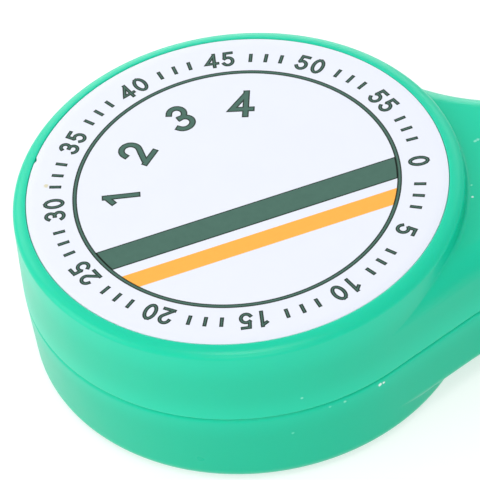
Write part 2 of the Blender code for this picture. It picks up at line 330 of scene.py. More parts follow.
class SharedEffects:
    """Shader node groups that several finishes use, each built once."""

    def __init__(self) -> None:
        """Start with no group built."""
        self.built: dict[Effect, bpy.types.NodeTree] = {}

    def place(self, wiring: Wiring, effect: Effect, inputs: dict) -> bpy.types.Node:
        """Place a group in a material.

        Args:
            wiring: the material's wiring.
            effect: which effect.
            inputs: value or source for each input that departs from the group's own value.

        Returns:
            The group's node.
        """
        makers: dict[Effect, Callable] = {
            Effect.GRAIN: self.fine_grain,
            Effect.WEAVE: self.flat_weave,
            Effect.SCUFF: self.scuff_mark,
            Effect.BACKED: self.backed_wall,
        }
        if effect not in self.built:
            tree = bpy.data.node_groups.new(effect.value, "ShaderNodeTree")
            makers[effect](Wiring(tree))
            self.built[effect] = tree
        node = wiring.node("ShaderNodeGroup", node_tree=self.built[effect])
        for key, value in inputs.items():
            wiring.feed(node.inputs[key], value)
        return node

    @staticmethod
    def fine_grain(wiring: Wiring) -> None:
        """Vary a surface's tone in blotches at a coarse and a fine scale.

        Args:
            wiring: wiring of the empty group.
        """
        inputs = wiring.group_inputs({"Coarse Scale": 120.0, "Fine Scale": 2600.0})
        place = wiring.node("ShaderNodeTexCoord").outputs["Object"]
        coarse = wiring.node(
            "ShaderNodeTexNoise",
            {"Vector": place, "Scale": inputs["Coarse Scale"], "Detail": 3.0, "Roughness": 0.55},
        )
        fine = wiring.node(
            "ShaderNodeTexNoise",
            {"Vector": place, "Scale": inputs["Fine Scale"], "Detail": 2.0, "Roughness": 0.6},
        )
        coarse_share = 0.6
        height = wiring.maths("MULTIPLY_ADD", coarse.outputs[0], coarse_share, fine.outputs[0])
        wiring.group_outputs(
            {
                "Mottle And Shade": ("NodeSocketFloat", coarse.outputs[0]),
                "Height": ("NodeSocketFloat", height),
            }
        )

    @staticmethod
    def flat_weave(wiring: Wiring) -> None:
        """Raise a flat braid's crossing bundles from its own lengthwise and crosswise places.

        Args:
            wiring: wiring of the empty group.
        """
        inputs = wiring.group_inputs({"Bundle Pitch": 0.6, "Slant": 0.8})
        along = wiring.node("ShaderNodeAttribute", attribute_name="along").outputs["Fac"]
        across = wiring.node("ShaderNodeAttribute", attribute_name="across").outputs["Fac"]
        slanted = wiring.maths("MULTIPLY", across, inputs["Slant"])
        waves = []
        for operation in ("ADD", "SUBTRACT"):
            travel = wiring.maths(operation, along, slanted)
            turns = wiring.maths("DIVIDE", travel, inputs["Bundle Pitch"])
            phase = wiring.maths("MULTIPLY", turns, math.tau)
            waves.append(wiring.maths("SINE", phase))
        product = wiring.maths("MULTIPLY", waves[0], waves[1])
        height = wiring.maths("MULTIPLY_ADD", product, 0.5, 0.5)
        # The height also sets the colour: darker copper between the bundles and lighter on the
        # crossings, painted shade.
        wiring.group_outputs(
            {
                "Mottle And Shade": ("NodeSocketFloat", height),
                "Height": ("NodeSocketFloat", height),
            }
        )

    @staticmethod
    def scuff_mark(wiring: Wiring) -> None:
        """Mask one small ragged mark at a place on a surface.

        Args:
            wiring: wiring of the empty group.
        """
        inputs = wiring.group_inputs({"Centre": (0.0, 0.0, 0.0), "Radius": 0.0003})
        place = wiring.node("ShaderNodeTexCoord").outputs["Object"]
        away = wiring.node("ShaderNodeVectorMath", operation="DISTANCE")
        wiring.feed(away.inputs[0], place)
        wiring.feed(away.inputs[1], inputs["Centre"])
        share = wiring.maths("DIVIDE", away.outputs["Value"], inputs["Radius"])
        ragged = wiring.node(
            "ShaderNodeTexNoise", {"Vector": place, "Scale": 5200.0, "Detail": 2.0}
        )
        raggedness, whole_to, gone_from = 0.9, 0.85, 1.25
        edge = wiring.maths("MULTIPLY_ADD", ragged.outputs[0], raggedness, share)
        mask = wiring.node(
            "ShaderNodeMapRange",
            {
                "Value": edge,
                "From Min": whole_to,
                "From Max": gone_from,
                "To Min": 1.0,
                "To Max": 0.0,
            },
        )
        wiring.group_outputs({"Mask": ("NodeSocketFloat", mask.outputs["Result"])})

    @staticmethod
    def backed_wall(wiring: Wiring) -> None:
        """Mask the wall near the seam and near the top, where it is painted lighter: painted
        light.

        Args:
            wiring: wiring of the empty group.
        """
        values = {"Seam": 0.0087, "Top": 0.0159, "Reach": 0.003}
        inputs = wiring.group_inputs(values)
        place = wiring.node("ShaderNodeTexCoord").outputs["Object"]
        height = wiring.node("ShaderNodeSeparateXYZ", {"Vector": place}).outputs["Z"]
        masks = []
        for level in ("Seam", "Top"):
            away = wiring.maths("ABSOLUTE", wiring.maths("SUBTRACT", height, inputs[level]))
            share = wiring.maths("DIVIDE", away, inputs["Reach"])
            near = wiring.node(
                "ShaderNodeMapRange",
                {"Value": share, "To Min": 1.0, "To Max": 0.0},
                interpolation_type="SMOOTHSTEP",
            )
            masks.append(near.outputs["Result"])
        both = wiring.maths("MAXIMUM", *masks)
        wiring.group_outputs({"Mask": ("NodeSocketFloat", both)})


EFFECTS = SharedEffects()


@dataclass(frozen=True)
class Mark:
    """A small scuff or fleck on a finish."""

    centre: Place
    radius: float
    colour: Colour


@dataclass(frozen=True)
class Finish:
    """A surface finish: its colours, gloss, glow, relief and small marks."""

    name: str
    colour: Colour
    second_colour: Colour
    roughness: float
    roughness_spread: float = 0.05
    metallic: float = 0.0
    specular: float = 0.5
    emission: float = 0.0
    glow: float = 0.0
    glow_reach: Place = (0.2, 1.0, 0.6)
    relief: Effect = Effect.GRAIN
    coarse: float = 120.0
    fine: float = 2600.0
    bump: float = 0.02
    bump_depth: float = 0.01
    strand_spread: float = 0.0
    # Painted light: colour laid on the wall near the seam and near the top.
    backed_colour: Colour | None = None
    marks: tuple[Mark, ...] = ()

    @staticmethod
    def layered(
        wiring: Wiring,
        under: bpy.types.NodeSocket | tuple[float, ...],
        mask: bpy.types.NodeSocket,
        over: Colour,
    ) -> bpy.types.NodeSocket:
        """Lay one colour over another where a mask says.

        Args:
            wiring: the material's wiring.
            under: the colour below, or the socket that brings it.
            mask: how much of the upper colour shows.
            over: the upper colour.

        Returns:
            The mixed colour.
        """
        mix = wiring.node("ShaderNodeMix", data_type="RGBA")
        wiring.feed(mix.inputs["Factor"], mask)
        wiring.feed(mix.inputs["A"], under)
        wiring.feed(mix.inputs["B"], (*over, 1.0))
        return mix.outputs["Result"]

    def make(self) -> bpy.types.Material:
        """Build the material.

        Returns:
            The new material.
        """
        material = bpy.data.materials.new(self.name)
        material.use_nodes = True
        wiring = Wiring(material.node_tree)
        shader = material.node_tree.nodes["Principled BSDF"]
        shader.inputs["Metallic"].default_value = self.metallic
        shader.inputs["Specular IOR Level"].default_value = self.specular
        shader.inputs["Emission Color"].default_value = (1.0, 1.0, 1.0, 1.0)
        shader.inputs["Emission Strength"].default_value = self.emission
        shader.inputs["Subsurface Weight"].default_value = self.glow
        shader.inputs["Subsurface Radius"].default_value = self.glow_reach
        shader.inputs["Subsurface Scale"].default_value = MM
        scales = {"Coarse Scale": self.coarse, "Fine Scale": self.fine}
        if self.relief is Effect.WEAVE:
            scales = {}
        effect = EFFECTS.place(wiring, self.relief, scales)
        mottle_and_shade = effect.outputs["Mottle And Shade"]
        if self.strand_spread:
            strand = wiring.node("ShaderNodeAttribute", attribute_name="strand").outputs["Fac"]
            mottle_and_shade = wiring.maths("MULTIPLY_ADD", strand, self.strand_spread, mottle_and_shade)
        # For a woven strip this mix paints shade between the bundles; for grain it is blotchy
        # tone.
        colour = self.layered(wiring, (*self.colour, 1.0), mottle_and_shade, self.second_colour)
        # Painted light: lighter colour on the wall near the seam and near the top.
        if self.backed_colour:
            mask = EFFECTS.place(wiring, Effect.BACKED, {})
            colour = self.layered(wiring, colour, mask.outputs["Mask"], self.backed_colour)
        for mark in self.marks:
            centre = tuple(value * MM for value in mark.centre)
            inputs = {"Centre": centre, "Radius": mark.radius * MM}
            mask = EFFECTS.place(wiring, Effect.SCUFF, inputs)
            colour = self.layered(wiring, colour, mask.outputs["Mask"], mark.colour)
        wiring.feed(shader.inputs["Base Color"], colour)
        spread = wiring.node(
            "ShaderNodeMapRange",
            {
                "Value": effect.outputs["Mottle And Shade"],
                "From Min": 0.25,
                "From Max": 0.75,
                "To Min": self.roughness - self.roughness_spread,
                "To Max": self.roughness + self.roughness_spread,
            },
        )
        wiring.feed(shader.inputs["Roughness"], spread.outputs["Result"])
        bump = wiring.node(
            "ShaderNodeBump", {"Strength": self.bump, "Distance": self.bump_depth * MM}
        )
        wiring.feed(bump.inputs["Height"], effect.outputs["Height"])
        wiring.feed(shader.inputs["Normal"], bump.outputs["Normal"])
        return material


PALE_SCUFF = (0.70, 0.88, 0.82)
DULL_SCUFF = (0.22, 0.72, 0.54)
FAINT_SCUFF = (0.10, 0.64, 0.46)
MINT_PLASTIC = Finish(
    "mint_plastic",
    colour=(0.002, 0.508, 0.304),
    second_colour=(0.003, 0.537, 0.324),
    roughness=0.315,
    specular=0.3,
    glow=0.3,
    bump=0.25,
    bump_depth=0.006,
    # Painted light for the wall near the seam and near the top.
    backed_colour=(0.004, 0.58, 0.358),
    marks=(
        Mark((10.06, -17.91, 7.98), 0.27, PALE_SCUFF),
        Mark((10.42, -17.70, 7.95), 0.20, PALE_SCUFF),
        Mark((6.80, -19.39, 8.05), 0.20, DULL_SCUFF),
        Mark((5.43, -19.82, 8.15), 0.20, FAINT_SCUFF),
        Mark((3.08, -20.28, 10.32), 0.20, DULL_SCUFF),
        Mark((1.92, -20.38, 5.98), 0.20, FAINT_SCUFF),
        Mark((20.75, -1.97, 14.96), 0.15, DULL_SCUFF),
        Mark((20.65, -3.45, 14.96), 0.17, PALE_SCUFF),
        Mark((21.85, 3.48, 14.95), 0.22, DULL_SCUFF),
        Mark((22.12, 3.62, 14.95), 0.24, DULL_SCUFF),
    ),
)
# The lower half is the same plastic, painted a shade darker and given less gloss: painted shade
# for the dimmer light on the lower walls.
SHADED_LOWER_PLASTIC = replace(
    MINT_PLASTIC,
    name="lower_mint_plastic_shaded",
    specular=0.22,
    colour=(0.002, 0.474, 0.283),
    second_colour=(0.003, 0.50, 0.300),
    backed_colour=(0.004, 0.545, 0.335),
)
LABEL_WHITE = Finish(
    "label_white",
    colour=(0.709, 0.738, 0.822),
    second_colour=(0.722, 0.752, 0.836),
    roughness=0.42,
    specular=0.4,
    coarse=300.0,
    bump=0.2,
    bump_depth=0.003,
    marks=(Mark((-17.1, 3.21, 16.85), 0.34, (0.62, 0.58, 0.40)),),
)
INK_DARK = Finish(
    "ink_outline",
    colour=(0.004, 0.020, 0.011),
    second_colour=(0.008, 0.027, 0.017),
    roughness=0.5,
    specular=0.3,
    coarse=900.0,
    bump_depth=0.003,
)
INK_GREEN = Finish(
    "ink_green",
    colour=(0.036, 0.108, 0.079),
    second_colour=(0.052, 0.138, 0.104),
    roughness=0.5,
    specular=0.3,
    coarse=1500.0,
    bump_depth=0.003,
)
INK_ORANGE = Finish(
    "ink_orange",
    colour=(0.88, 0.38, 0.045),
    second_colour=(0.93, 0.41, 0.055),
    roughness=0.5,
    specular=0.3,
    coarse=1500.0,
    bump_depth=0.003,
)
REEL_WHITE = Finish(
    "reel_white",
    colour=(0.74, 0.74, 0.70),
    second_colour=(0.78, 0.78, 0.75),
    roughness=0.45,
    glow=0.1,
    glow_reach=(1.0, 0.9, 0.8),
    bump=0.2,
)
# Its colour follows the weave's height: painted shade between the bundles, lighter copper on the
# crossings.
COPPER_STRIP = Finish(
    "copper_strip",
    colour=(0.55, 0.24, 0.12),
    second_colour=(0.92, 0.52, 0.34),
    roughness=0.34,
    metallic=1.0,
    relief=Effect.WEAVE,
    bump=1.0,
    bump_depth=0.06,
)
COPPER_WIRE = Finish(
    "copper_wire",
    colour=(0.80, 0.37, 0.20),
    second_colour=(0.98, 0.60, 0.42),
    roughness=0.26,
    metallic=1.0,
    coarse=700.0,
    fine=9000.0,
    bump=0.1,
    strand_spread=0.35,
)


@dataclass(frozen=True)
class CaseForm:
    """The outer form of the closed case, as a distance that can be asked for at any point.

    The round body and the nose are two rounded forms with moulding draft. The rim is a quarter
    of an ellipse, wider than it is high. Body and nose join in a small fillet that fades out
    where the flanks leave the round body on a tangent.
    """

    seam_radius: float
    height: float
    nose_length: float
    seam_height: float = 8.67
    nose_half_width: float = 9.2
    nose_top: float = 14.95
    nose_bottom: float = 1.85
    neck_radius: float = 18.0
    flank_start: float = math.radians(56.5)
    nose_corner: float = 4.0
    nose_upper_edge: float = 2.2
    nose_lower_edge: float = 1.5
    rim_width: float = 1.2
    rim_drop: float = 0.7
    base_edge: float = 1.5
    upper_draft: float = math.radians(1.6)
    lower_draft: float = math.radians(2.0)
    crease_fillet: float = 0.4
    least_blend: float = 1e-6
    bisections: int = 26

    def nose_plan(self, x: np.ndarray, y: np.ndarray) -> tuple[np.ndarray, ...]:
        """Find how deep points lie inside the nose's outline in plan.

        Args:
            x: distance along the nose.
            y: distance to the side.

        Returns:
            The depth, and the two parts of the outward direction in plan.
        """
        side_sign = np.where(y < 0, -1.0, 1.0)
        y = np.abs(y)
        cos_s, sin_s = math.cos(self.flank_start), math.sin(self.flank_start)
        neck_y = self.nose_half_width + self.neck_radius
        neck_x = (self.seam_radius + self.neck_radius - neck_y * sin_s) / cos_s
        away_x, away_y = x - neck_x, y - neck_y
        away = np.hypot(away_x, away_y) + TINY
        on_flank = away_x * sin_s - away_y * cos_s < 0
        on_side = (away_x >= 0) & ~on_flank
        depth = away - self.neck_radius
        out_x, out_y = -away_x / away, -away_y / away
        depth = np.where(on_flank, self.seam_radius - x * cos_s - y * sin_s, depth)
        out_x, out_y = np.where(on_flank, cos_s, out_x), np.where(on_flank, sin_s, out_y)
        depth = np.where(on_side, self.nose_half_width - y, depth)
        out_x, out_y = np.where(on_side, 0.0, out_x), np.where(on_side, 1.0, out_y)
        tip = self.nose_length - x
        past_side = np.maximum(self.nose_corner - depth, 0.0)
        past_tip = np.maximum(self.nose_corner - tip, 0.0)
        reach = np.hypot(past_side, past_tip)
        in_corner = reach > 0
        safe = np.where(in_corner, reach, 1.0)
        corner_x = (past_side * out_x + past_tip) / safe
        corner_y = past_side * out_y / safe
        nearer_tip = tip < depth
        depth = np.where(in_corner, self.nose_corner - reach, np.minimum(depth, tip))
        out_x = np.where(in_corner, corner_x, np.where(nearer_tip, 1.0, out_x))
        out_y = np.where(in_corner, corner_y, np.where(nearer_tip, 0.0, out_y))
        past_start = x * sin_s - y * cos_s
        return np.minimum(depth, past_start), out_x, out_y * side_sign

    @staticmethod
    def edge_distance(
        across: np.ndarray, up: np.ndarray, rounding: np.ndarray
    ) -> tuple[np.ndarray, ...]:
        """Measure the distance to a straight-walled form with a rounded edge.

        Args:
            across: distance past the rounding's centre, towards the wall.
            up: distance past the rounding's centre, towards the flat face.
            rounding: radius of the edge.

        Returns:
            The distance, and the across and up parts of the outward direction.
        """
        past_across, past_up = np.maximum(across, 0.0), np.maximum(up, 0.0)
        reach = np.hypot(past_across, past_up)
        distance = np.minimum(np.maximum(across, up), 0.0) + reach - rounding
        inside = reach < TINY
        safe = np.where(inside, 1.0, reach)
        part_across = np.where(inside, (across >= up) * 1.0, past_across / safe)
        part_up = np.where(inside, (across < up) * 1.0, past_up / safe)
        return distance, part_across, part_up

    def distance(self, x: np.ndarray, y: np.ndarray, z: np.ndarray) -> np.ndarray:
        """Measure the signed distance to the case's skin, negative inside.

        Args:
            x: distance along the nose.
            y: distance to the side.
            z: height.

        Returns:
            The distance of each point.
        """
        above = z >= self.seam_height
        draft = np.where(above, self.upper_draft, self.lower_draft)
        drop = np.tan(draft) * np.abs(z - self.seam_height)
        radius = np.hypot(x, y) + TINY
        edge = np.where(above, self.rim_width, self.base_edge)
        across = radius - (self.seam_radius - drop - edge)
        rim_up = (z - self.height + self.rim_drop) * self.rim_width / self.rim_drop
        up = np.where(above, rim_up, edge - z)
        body, body_across, body_up = self.edge_distance(across, up, edge)
        depth, out_x, out_y = self.nose_plan(x, y)
        edge = np.where(above, self.nose_upper_edge, self.nose_lower_edge)
        up = np.where(above, z - self.nose_top + edge, self.nose_bottom + edge - z)
        nose, nose_across, nose_up = self.edge_distance(edge + drop - depth, up, edge)
        facing = body_across * nose_across * (x * out_x + y * out_y) / radius
        facing = facing + body_up * nose_up
        blend = self.crease_fillet * np.clip(1.0 - facing, 0.0, 1.0) + self.least_blend
        overlap = np.maximum(blend - np.abs(body - nose), 0.0) / blend
        return np.minimum(body, nose) - overlap * overlap * blend / 4

    def wall(self, angles: np.ndarray, height: float, inset: float = 0.0) -> np.ndarray:
        """Find the wall at one height.

        Args:
            angles: directions in plan.
            height: the height.
            inset: how far inside the skin.

        Returns:
            A row of points.
        """
        near, far = np.zeros_like(angles), np.full_like(angles, 2 * self.nose_length)
        for _ in range(self.bisections):
            middle = (near + far) / 2
            x, y = middle * np.cos(angles), middle * np.sin(angles)
            outside = self.distance(x, y, np.full_like(x, height)) + inset > 0
            near, far = np.where(outside, near, middle), np.where(outside, middle, far)
        return np.stack([near * np.cos(angles), near * np.sin(angles), near * 0 + height], 1)

    def cast(self, angles: np.ndarray, slopes: np.ndarray, inset: float) -> np.ndarray:
        """Cast rays from the middle of the seam plane to the skin.

        Args:
            angles: directions in plan.
            slopes: directions above the seam plane.
            inset: how far inside the skin to stop.

        Returns:
            The length of each ray.
        """
        near = np.zeros(np.broadcast(angles, slopes).shape)
        far = np.full_like(near, 2 * self.nose_length)
        x, y = np.cos(angles) * np.cos(slopes), np.sin(angles) * np.cos(slopes)
        z = np.sin(slopes) + 0 * angles
        for _ in range(self.bisections):
            middle = (near + far) / 2
            skin = self.distance(middle * x, middle * y, middle * z + self.seam_height)
            outside = skin + inset > 0
            near, far = np.where(outside, near, middle), np.where(outside, middle, far)
        return near

    def draped_rows(
        self,
        angles: np.ndarray,
        start: np.ndarray,
        end: np.ndarray,
        inset: float,
        count: int,
    ) -> Rows:
        """Lay rows of points over the skin, closer together where it curves.

        Args:
            angles: directions in plan of the columns.
            start: slope of each column's first point, seen from the middle of the seam plane.
            end: slope of each column's last point.
            inset: how far inside the skin.
            count: number of rows.

        Returns:
            The rows, from start to end.
        """
        dense, length_step, turn_step = 480, 0.9, math.radians(7)
        share = np.linspace(0.0, 1.0, dense)[:, None]
        slopes = start[None] + (end - start)[None] * share
        reach = self.cast(angles[None], slopes, inset)
        flat, rise = reach * np.cos(slopes), reach * np.sin(slopes)
        step_flat, step_rise = np.diff(flat, axis=0), np.diff(rise, axis=0)
        heading = np.unwrap(np.arctan2(step_rise, step_flat), axis=0)
        turn = np.abs(np.diff(heading, axis=0, prepend=heading[:1]))
        cost = np.hypot(step_flat, step_rise) / length_step + turn / turn_step
        total = np.concatenate([np.zeros((1, len(angles))), np.cumsum(cost, axis=0)])
        chosen = np.empty((count, len(angles)))
        for i in range(len(angles)):
            wanted = np.linspace(0.0, total[-1, i], count)
            chosen[:, i] = np.interp(wanted, total[:, i], slopes[:, i])
        reach = self.cast(angles[None], chosen, inset)
        flat = reach * np.cos(chosen)
        rise = reach * np.sin(chosen) + self.seam_height
        return [
            np.stack([f * np.cos(angles), f * np.sin(angles), r], 1) for f, r in zip(flat, rise)
        ]


@dataclass
class Case:
    """The two moulded halves, with their seam, lip, post, pin and mouth."""

    form: CaseForm
    label_radius: float
    label_slip: tuple[float, float]
    recess_floor: float
    mouth_level: float
    mouth_half_width: float = 0.75
    mouth_half_height: float = 2.1
    mouth_flare: float = 0.4
    mouth_columns: int = 40
    guide_start: float = 36.2
    guide_length: float = 4.3
    guide_thickness: float = 1.2
    guide_gap: float = 0.06
    columns: int = 448
    outline_samples: int = 12001
    skin_rows: int = 84
    inner_rows: int = 30
    edge_steps: int = 6
    inner_edge: float = 0.5
    wall: float = 1.6
    seam_gap: float = 0.08
    upper_seam_edge: float = 0.1
    lower_seam_edge: float = 0.42
    lip_inset: float = 0.95
    lip_clearance: float = 0.15
    lip_height: float = 1.5
    lip_chamfer: float = 0.15
    recess_gap: float = 0.05
    recess_edge: float = 0.08
    recess_edge_steps: int = 3
    recess_fillet: float = 0.06
    recess_radii: tuple[float, ...] = (6.0, 12.0, 18.0)
    rim_start: float = 0.08
    base_radii: tuple[float, ...] = (6.0, 12.0, 17.0)
    base_margin: float = 0.8
    post_radius: float = 5.0
    post_bore: float = 2.3
    post_fillet: float = 0.3
    post_chamfer: float = 0.2
    post_top_gap: float = 0.3
    bearing_gap: float = 0.3
    bore_spare: float = 0.3
    pin_radius: float = 2.0
    pin_length: float = 5.0
    pin_fillet: float = 0.2
    pin_chamfer: float = 0.3

    def angles(self) -> np.ndarray:
        """Spread the columns evenly along the case's outline in plan.

        Returns:
            The direction of each column.
        """
        dense = np.linspace(0.0, math.tau, self.outline_samples)
        outline = self.form.wall(dense, self.form.seam_height)
        steps = np.hypot(*np.diff(outline[:, :2], axis=0).T)
        total = np.concatenate([[0.0], np.cumsum(steps)])
        return np.interp(np.arange(self.columns) / self.columns * total[-1], total, dense)

    def slope_to(self, row: np.ndarray) -> np.ndarray:
        """Find the slopes of a row's points, seen from the middle of the seam plane."""
        rise = row[:, 2] - self.form.seam_height
        return np.arctan2(rise, np.hypot(row[:, 0], row[:, 1]))

    def seam_edge(self, half: Half) -> float:
        """Give the rounding of a half's edge at the seam."""
        return self.upper_seam_edge if half is Half.UPPER else self.lower_seam_edge

    def seam_turn(self, angles: np.ndarray, half: Half) -> Rows:
        """Round the outer edge of the seam.

        Args:
            angles: directions in plan of the columns.
            half: which half of the case.

        Returns:
            Rows from the wall into the seam.
        """
        sign, edge = half.value, self.seam_edge(half)
        face = self.form.seam_height + sign * self.seam_gap / 2
        rows = []
        for step in range(1, self.edge_steps + 1):
            turn = math.pi / 2 * step / self.edge_steps
            height = face + sign * edge * (1 - math.sin(turn))
            rows.append(self.form.wall(angles, height, edge * (1 - math.cos(turn))))
        return rows

    def skin_from(self, angles: np.ndarray, edge: np.ndarray, half: Half) -> Rows:
        """Lay the outer skin from a flat face's edge down to the seam.

        Args:
            angles: directions in plan of the columns.
            edge: the last row of the flat face.
            half: which half of the case.

        Returns:
            The rows of the skin.
        """
        face = self.form.seam_height + half.value * (self.seam_gap / 2 + self.seam_edge(half))
        last = self.form.wall(angles, face)
        return self.form.draped_rows(
            angles, self.slope_to(edge), self.slope_to(last), 0.0, self.skin_rows
        )

    def inside_to(self, angles: np.ndarray, height: float, radius: float, half: Half) -> Rows:
        """Lay the inner skin from the wall to a ring on the floor or the ceiling.

        Args:
            angles: directions in plan of the columns.
            height: where the inner wall starts.
            radius: of the ring.
            half: which half of the case.

        Returns:
            The rows of the inner skin.
        """
        form = replace(self.form, rim_width=self.inner_edge, rim_drop=self.inner_edge)
        first = form.wall(angles, height, self.wall)
        flat = form.height - self.wall if half is Half.UPPER else self.wall
        last = ring(angles, radius, flat)
        return form.draped_rows(
            angles, self.slope_to(first), self.slope_to(last), self.wall, self.inner_rows
        )

    def upper_rows(self) -> Rows:
        """Lay the upper half's rows, from the label's recess round the wall to the pin.

        Returns:
            The rows, first to last.
        """
        angles = self.angles()
        form = self.form
        recess, top = self.label_radius + self.recess_gap, form.height
        radii = (*self.recess_radii, recess - self.recess_fillet)
        rows = [ring(angles, radius, self.recess_floor) for radius in radii]
        rows.append(ring(angles, recess, self.recess_floor + self.recess_fillet))
        for step in range(self.recess_edge_steps + 1):
            turn = math.pi / 2 * step / self.recess_edge_steps
            out = recess + self.recess_edge * (1 - math.cos(turn))
            rows.append(ring(angles, out, top - self.recess_edge * (1 - math.sin(turn))))
        rows.append(ring(angles, recess + self.recess_edge + self.rim_start, top))
        rows = [row + np.array([*self.label_slip, 0.0]) for row in rows]
        rows += self.skin_from(angles, rows.pop(), Half.UPPER)
        rows += self.seam_turn(angles, Half.UPPER)
        face = form.seam_height + self.seam_gap / 2
        rebate = self.lip_inset - self.lip_clearance
        step_up = face + self.lip_height + self.lip_clearance
        rows.append(form.wall(angles, face, rebate))
        rows.append(form.wall(angles, step_up, rebate))
        rows += self.inside_to(angles, step_up, self.pin_radius + self.pin_fillet, Half.UPPER)
        ceiling = form.height - self.wall
        tip = ceiling - self.pin_length
        rows.append(ring(angles, self.pin_radius, ceiling - self.pin_fillet))
        rows.append(ring(angles, self.pin_radius, tip + self.pin_chamfer))
        rows.append(ring(angles, self.pin_radius - self.pin_chamfer, tip))
        return rows

    def lower_rows(self) -> Rows:
        """Lay the lower half's rows, from the base round the wall and lip to the post's bore.

        Returns:
            The rows, first to last.
        """
        angles = self.angles()
        form = self.form
        flat = form.seam_radius - form.base_edge - self.base_margin
        rows = [ring(angles, radius, 0.0) for radius in self.base_radii]
        rows += self.skin_from(angles, ring(angles, flat, 0.0), Half.LOWER)
        rows += self.seam_turn(angles, Half.LOWER)
        face = form.seam_height - self.seam_gap / 2
        lip_top = face + self.lip_height
        rows.append(form.wall(angles, face, self.lip_inset))
        rows.append(form.wall(angles, lip_top - self.lip_chamfer, self.lip_inset))
        rows.append(form.wall(angles, lip_top, self.lip_inset + self.lip_chamfer))
        rows += self.inside_to(angles, lip_top, self.post_radius + self.post_fillet, Half.LOWER)
        top = form.height - self.wall - self.post_top_gap
        shoulder = top - self.post_chamfer
        rows.append(ring(angles, self.post_radius, self.wall + self.post_fillet))
        rows.append(ring(angles, self.post_radius, shoulder))
        rows.append(ring(angles, self.post_radius - self.post_chamfer, top))
        rows.append(ring(angles, self.post_bore + self.post_chamfer, top))
        rows.append(ring(angles, self.post_bore, shoulder))
        rows.append(ring(angles, self.post_bore, top - self.pin_length - self.bore_spare))
        return rows

    def build(self, half: Half, name: str) -> bpy.types.Object:
        """Model one half.

        Args:
            half: which half of the case.
            name: name of the piece.

        Returns:
            The closed shell.
        """
        rows = self.upper_rows() if half is Half.UPPER else self.lower_rows()
        shell = link(name, skinned(name, rows))
        combine(shell, Shaping.JOIN, *self.guide_ribs(half))
        combine(shell, Shaping.CUT, self.mouth_cutter())
        shade(shell.data)
        return shell

    def guide_ribs(self, half: Half) -> list[bpy.types.Object]:
        """Model the two ribs that the braid runs between, rooted in one half's walls.

        Args:
            half: which half of the case.

        Returns:
            The two closed blocks.
        """
        form = self.form
        root = self.wall / 2
        if half is Half.UPPER:
            low, high = form.seam_height + self.guide_gap, form.nose_top - root
        else:
            low, high = form.nose_bottom + root, form.seam_height - self.guide_gap
        near, far = self.guide_start, self.guide_start + self.guide_length
        ribs = []
        for sign in (-1, 1):
            inner = sign * self.mouth_half_width
            outer = sign * (self.mouth_half_width + self.guide_thickness)
            plan = [(near, inner), (far, inner), (far, outer), (near, outer)]
            rows = [np.array([(x, y, z) for x, y in plan]) for z in (low, high)]
            ribs.append(link("rib", skinned("rib", rows)))
        return ribs

    def mouth_cutter(self) -> bpy.types.Object:
        """Model the mouth's opening, a slot with round ends and a rounded lip.

        Returns:
            The closed cutter.
        """
        face, flare, margin = self.form.nose_length, self.mouth_flare, 1.0
        stations = [(face - self.wall - margin, 0.0), (face - flare, 0.0)]
        for step in range(1, self.edge_steps + 1):
            turn = math.pi / 2 * step / self.edge_steps
            stations.append((face - flare * (1 - math.sin(turn)), flare * (1 - math.cos(turn))))
        stations.append((face + margin, flare))
        turns = np.arange(self.mouth_columns) / self.mouth_columns * math.tau
        straight = self.mouth_half_height - self.mouth_half_width
        rows = []
        for x, grow in stations:
            radius = self.mouth_half_width + grow
            y = radius * np.cos(turns)
            z = radius * np.sin(turns) + np.sign(np.sin(turns)) * straight + self.mouth_level
            rows.append(np.stack([np.full_like(y, x), y, z], 1))
        return link("mouth", skinned("mouth", rows))


def set_inputs(modifier: bpy.types.NodesModifier, values: dict[str, object]) -> None:
    """Set a Geometry Nodes modifier's inputs by the identifiers of their sockets.

    Args:
        modifier: the modifier, with its tree.
        values: the value of each named input.
    """
    for item in modifier.node_group.interface.items_tree:
        if item.item_type == "SOCKET" and item.in_out == "INPUT" and item.name in values:
            modifier[item.identifier] = values[item.name]


def grown(
    name: str,
    tree: bpy.types.GeometryNodeTree,
    values: dict[str, object],
    base: bpy.types.Mesh | None = None,
) -> bpy.types.Mesh:
    """Run a Geometry Nodes tree and keep its result as a plain mesh.

    Args:
        name: name of the mesh.
        tree: the tree.
        values: the value of each named input.
        base: the mesh that the tree starts from, if it reads one.

    Returns:
        The mesh.
    """
    piece = link(name, base or bpy.data.meshes.new(name))
    modifier = piece.modifiers.new("grow", "NODES")
    modifier.node_group = tree
    set_inputs(modifier, values)
    mesh = evaluated(piece)
    bpy.data.objects.remove(piece)
    mesh.name = name
    return mesh


def finish_tree(
    wiring: Wiring, geometry: bpy.types.NodeSocket, material: bpy.types.NodeSocket
) -> None:
    """End a Geometry Nodes tree: realize its copies and give them their material.

    Args:
        wiring: wiring of the tree.
        geometry: what the tree has made.
        material: the group input that brings the material.
    """
    realized = wiring.node("GeometryNodeRealizeInstances", {"Geometry": geometry})
    dressed = wiring.node(
        "GeometryNodeSetMaterial", {"Geometry": realized.outputs[0], "Material": material}
    )
    wiring.group_outputs({"Geometry": ("NodeSocketGeometry", dressed.outputs[0])})


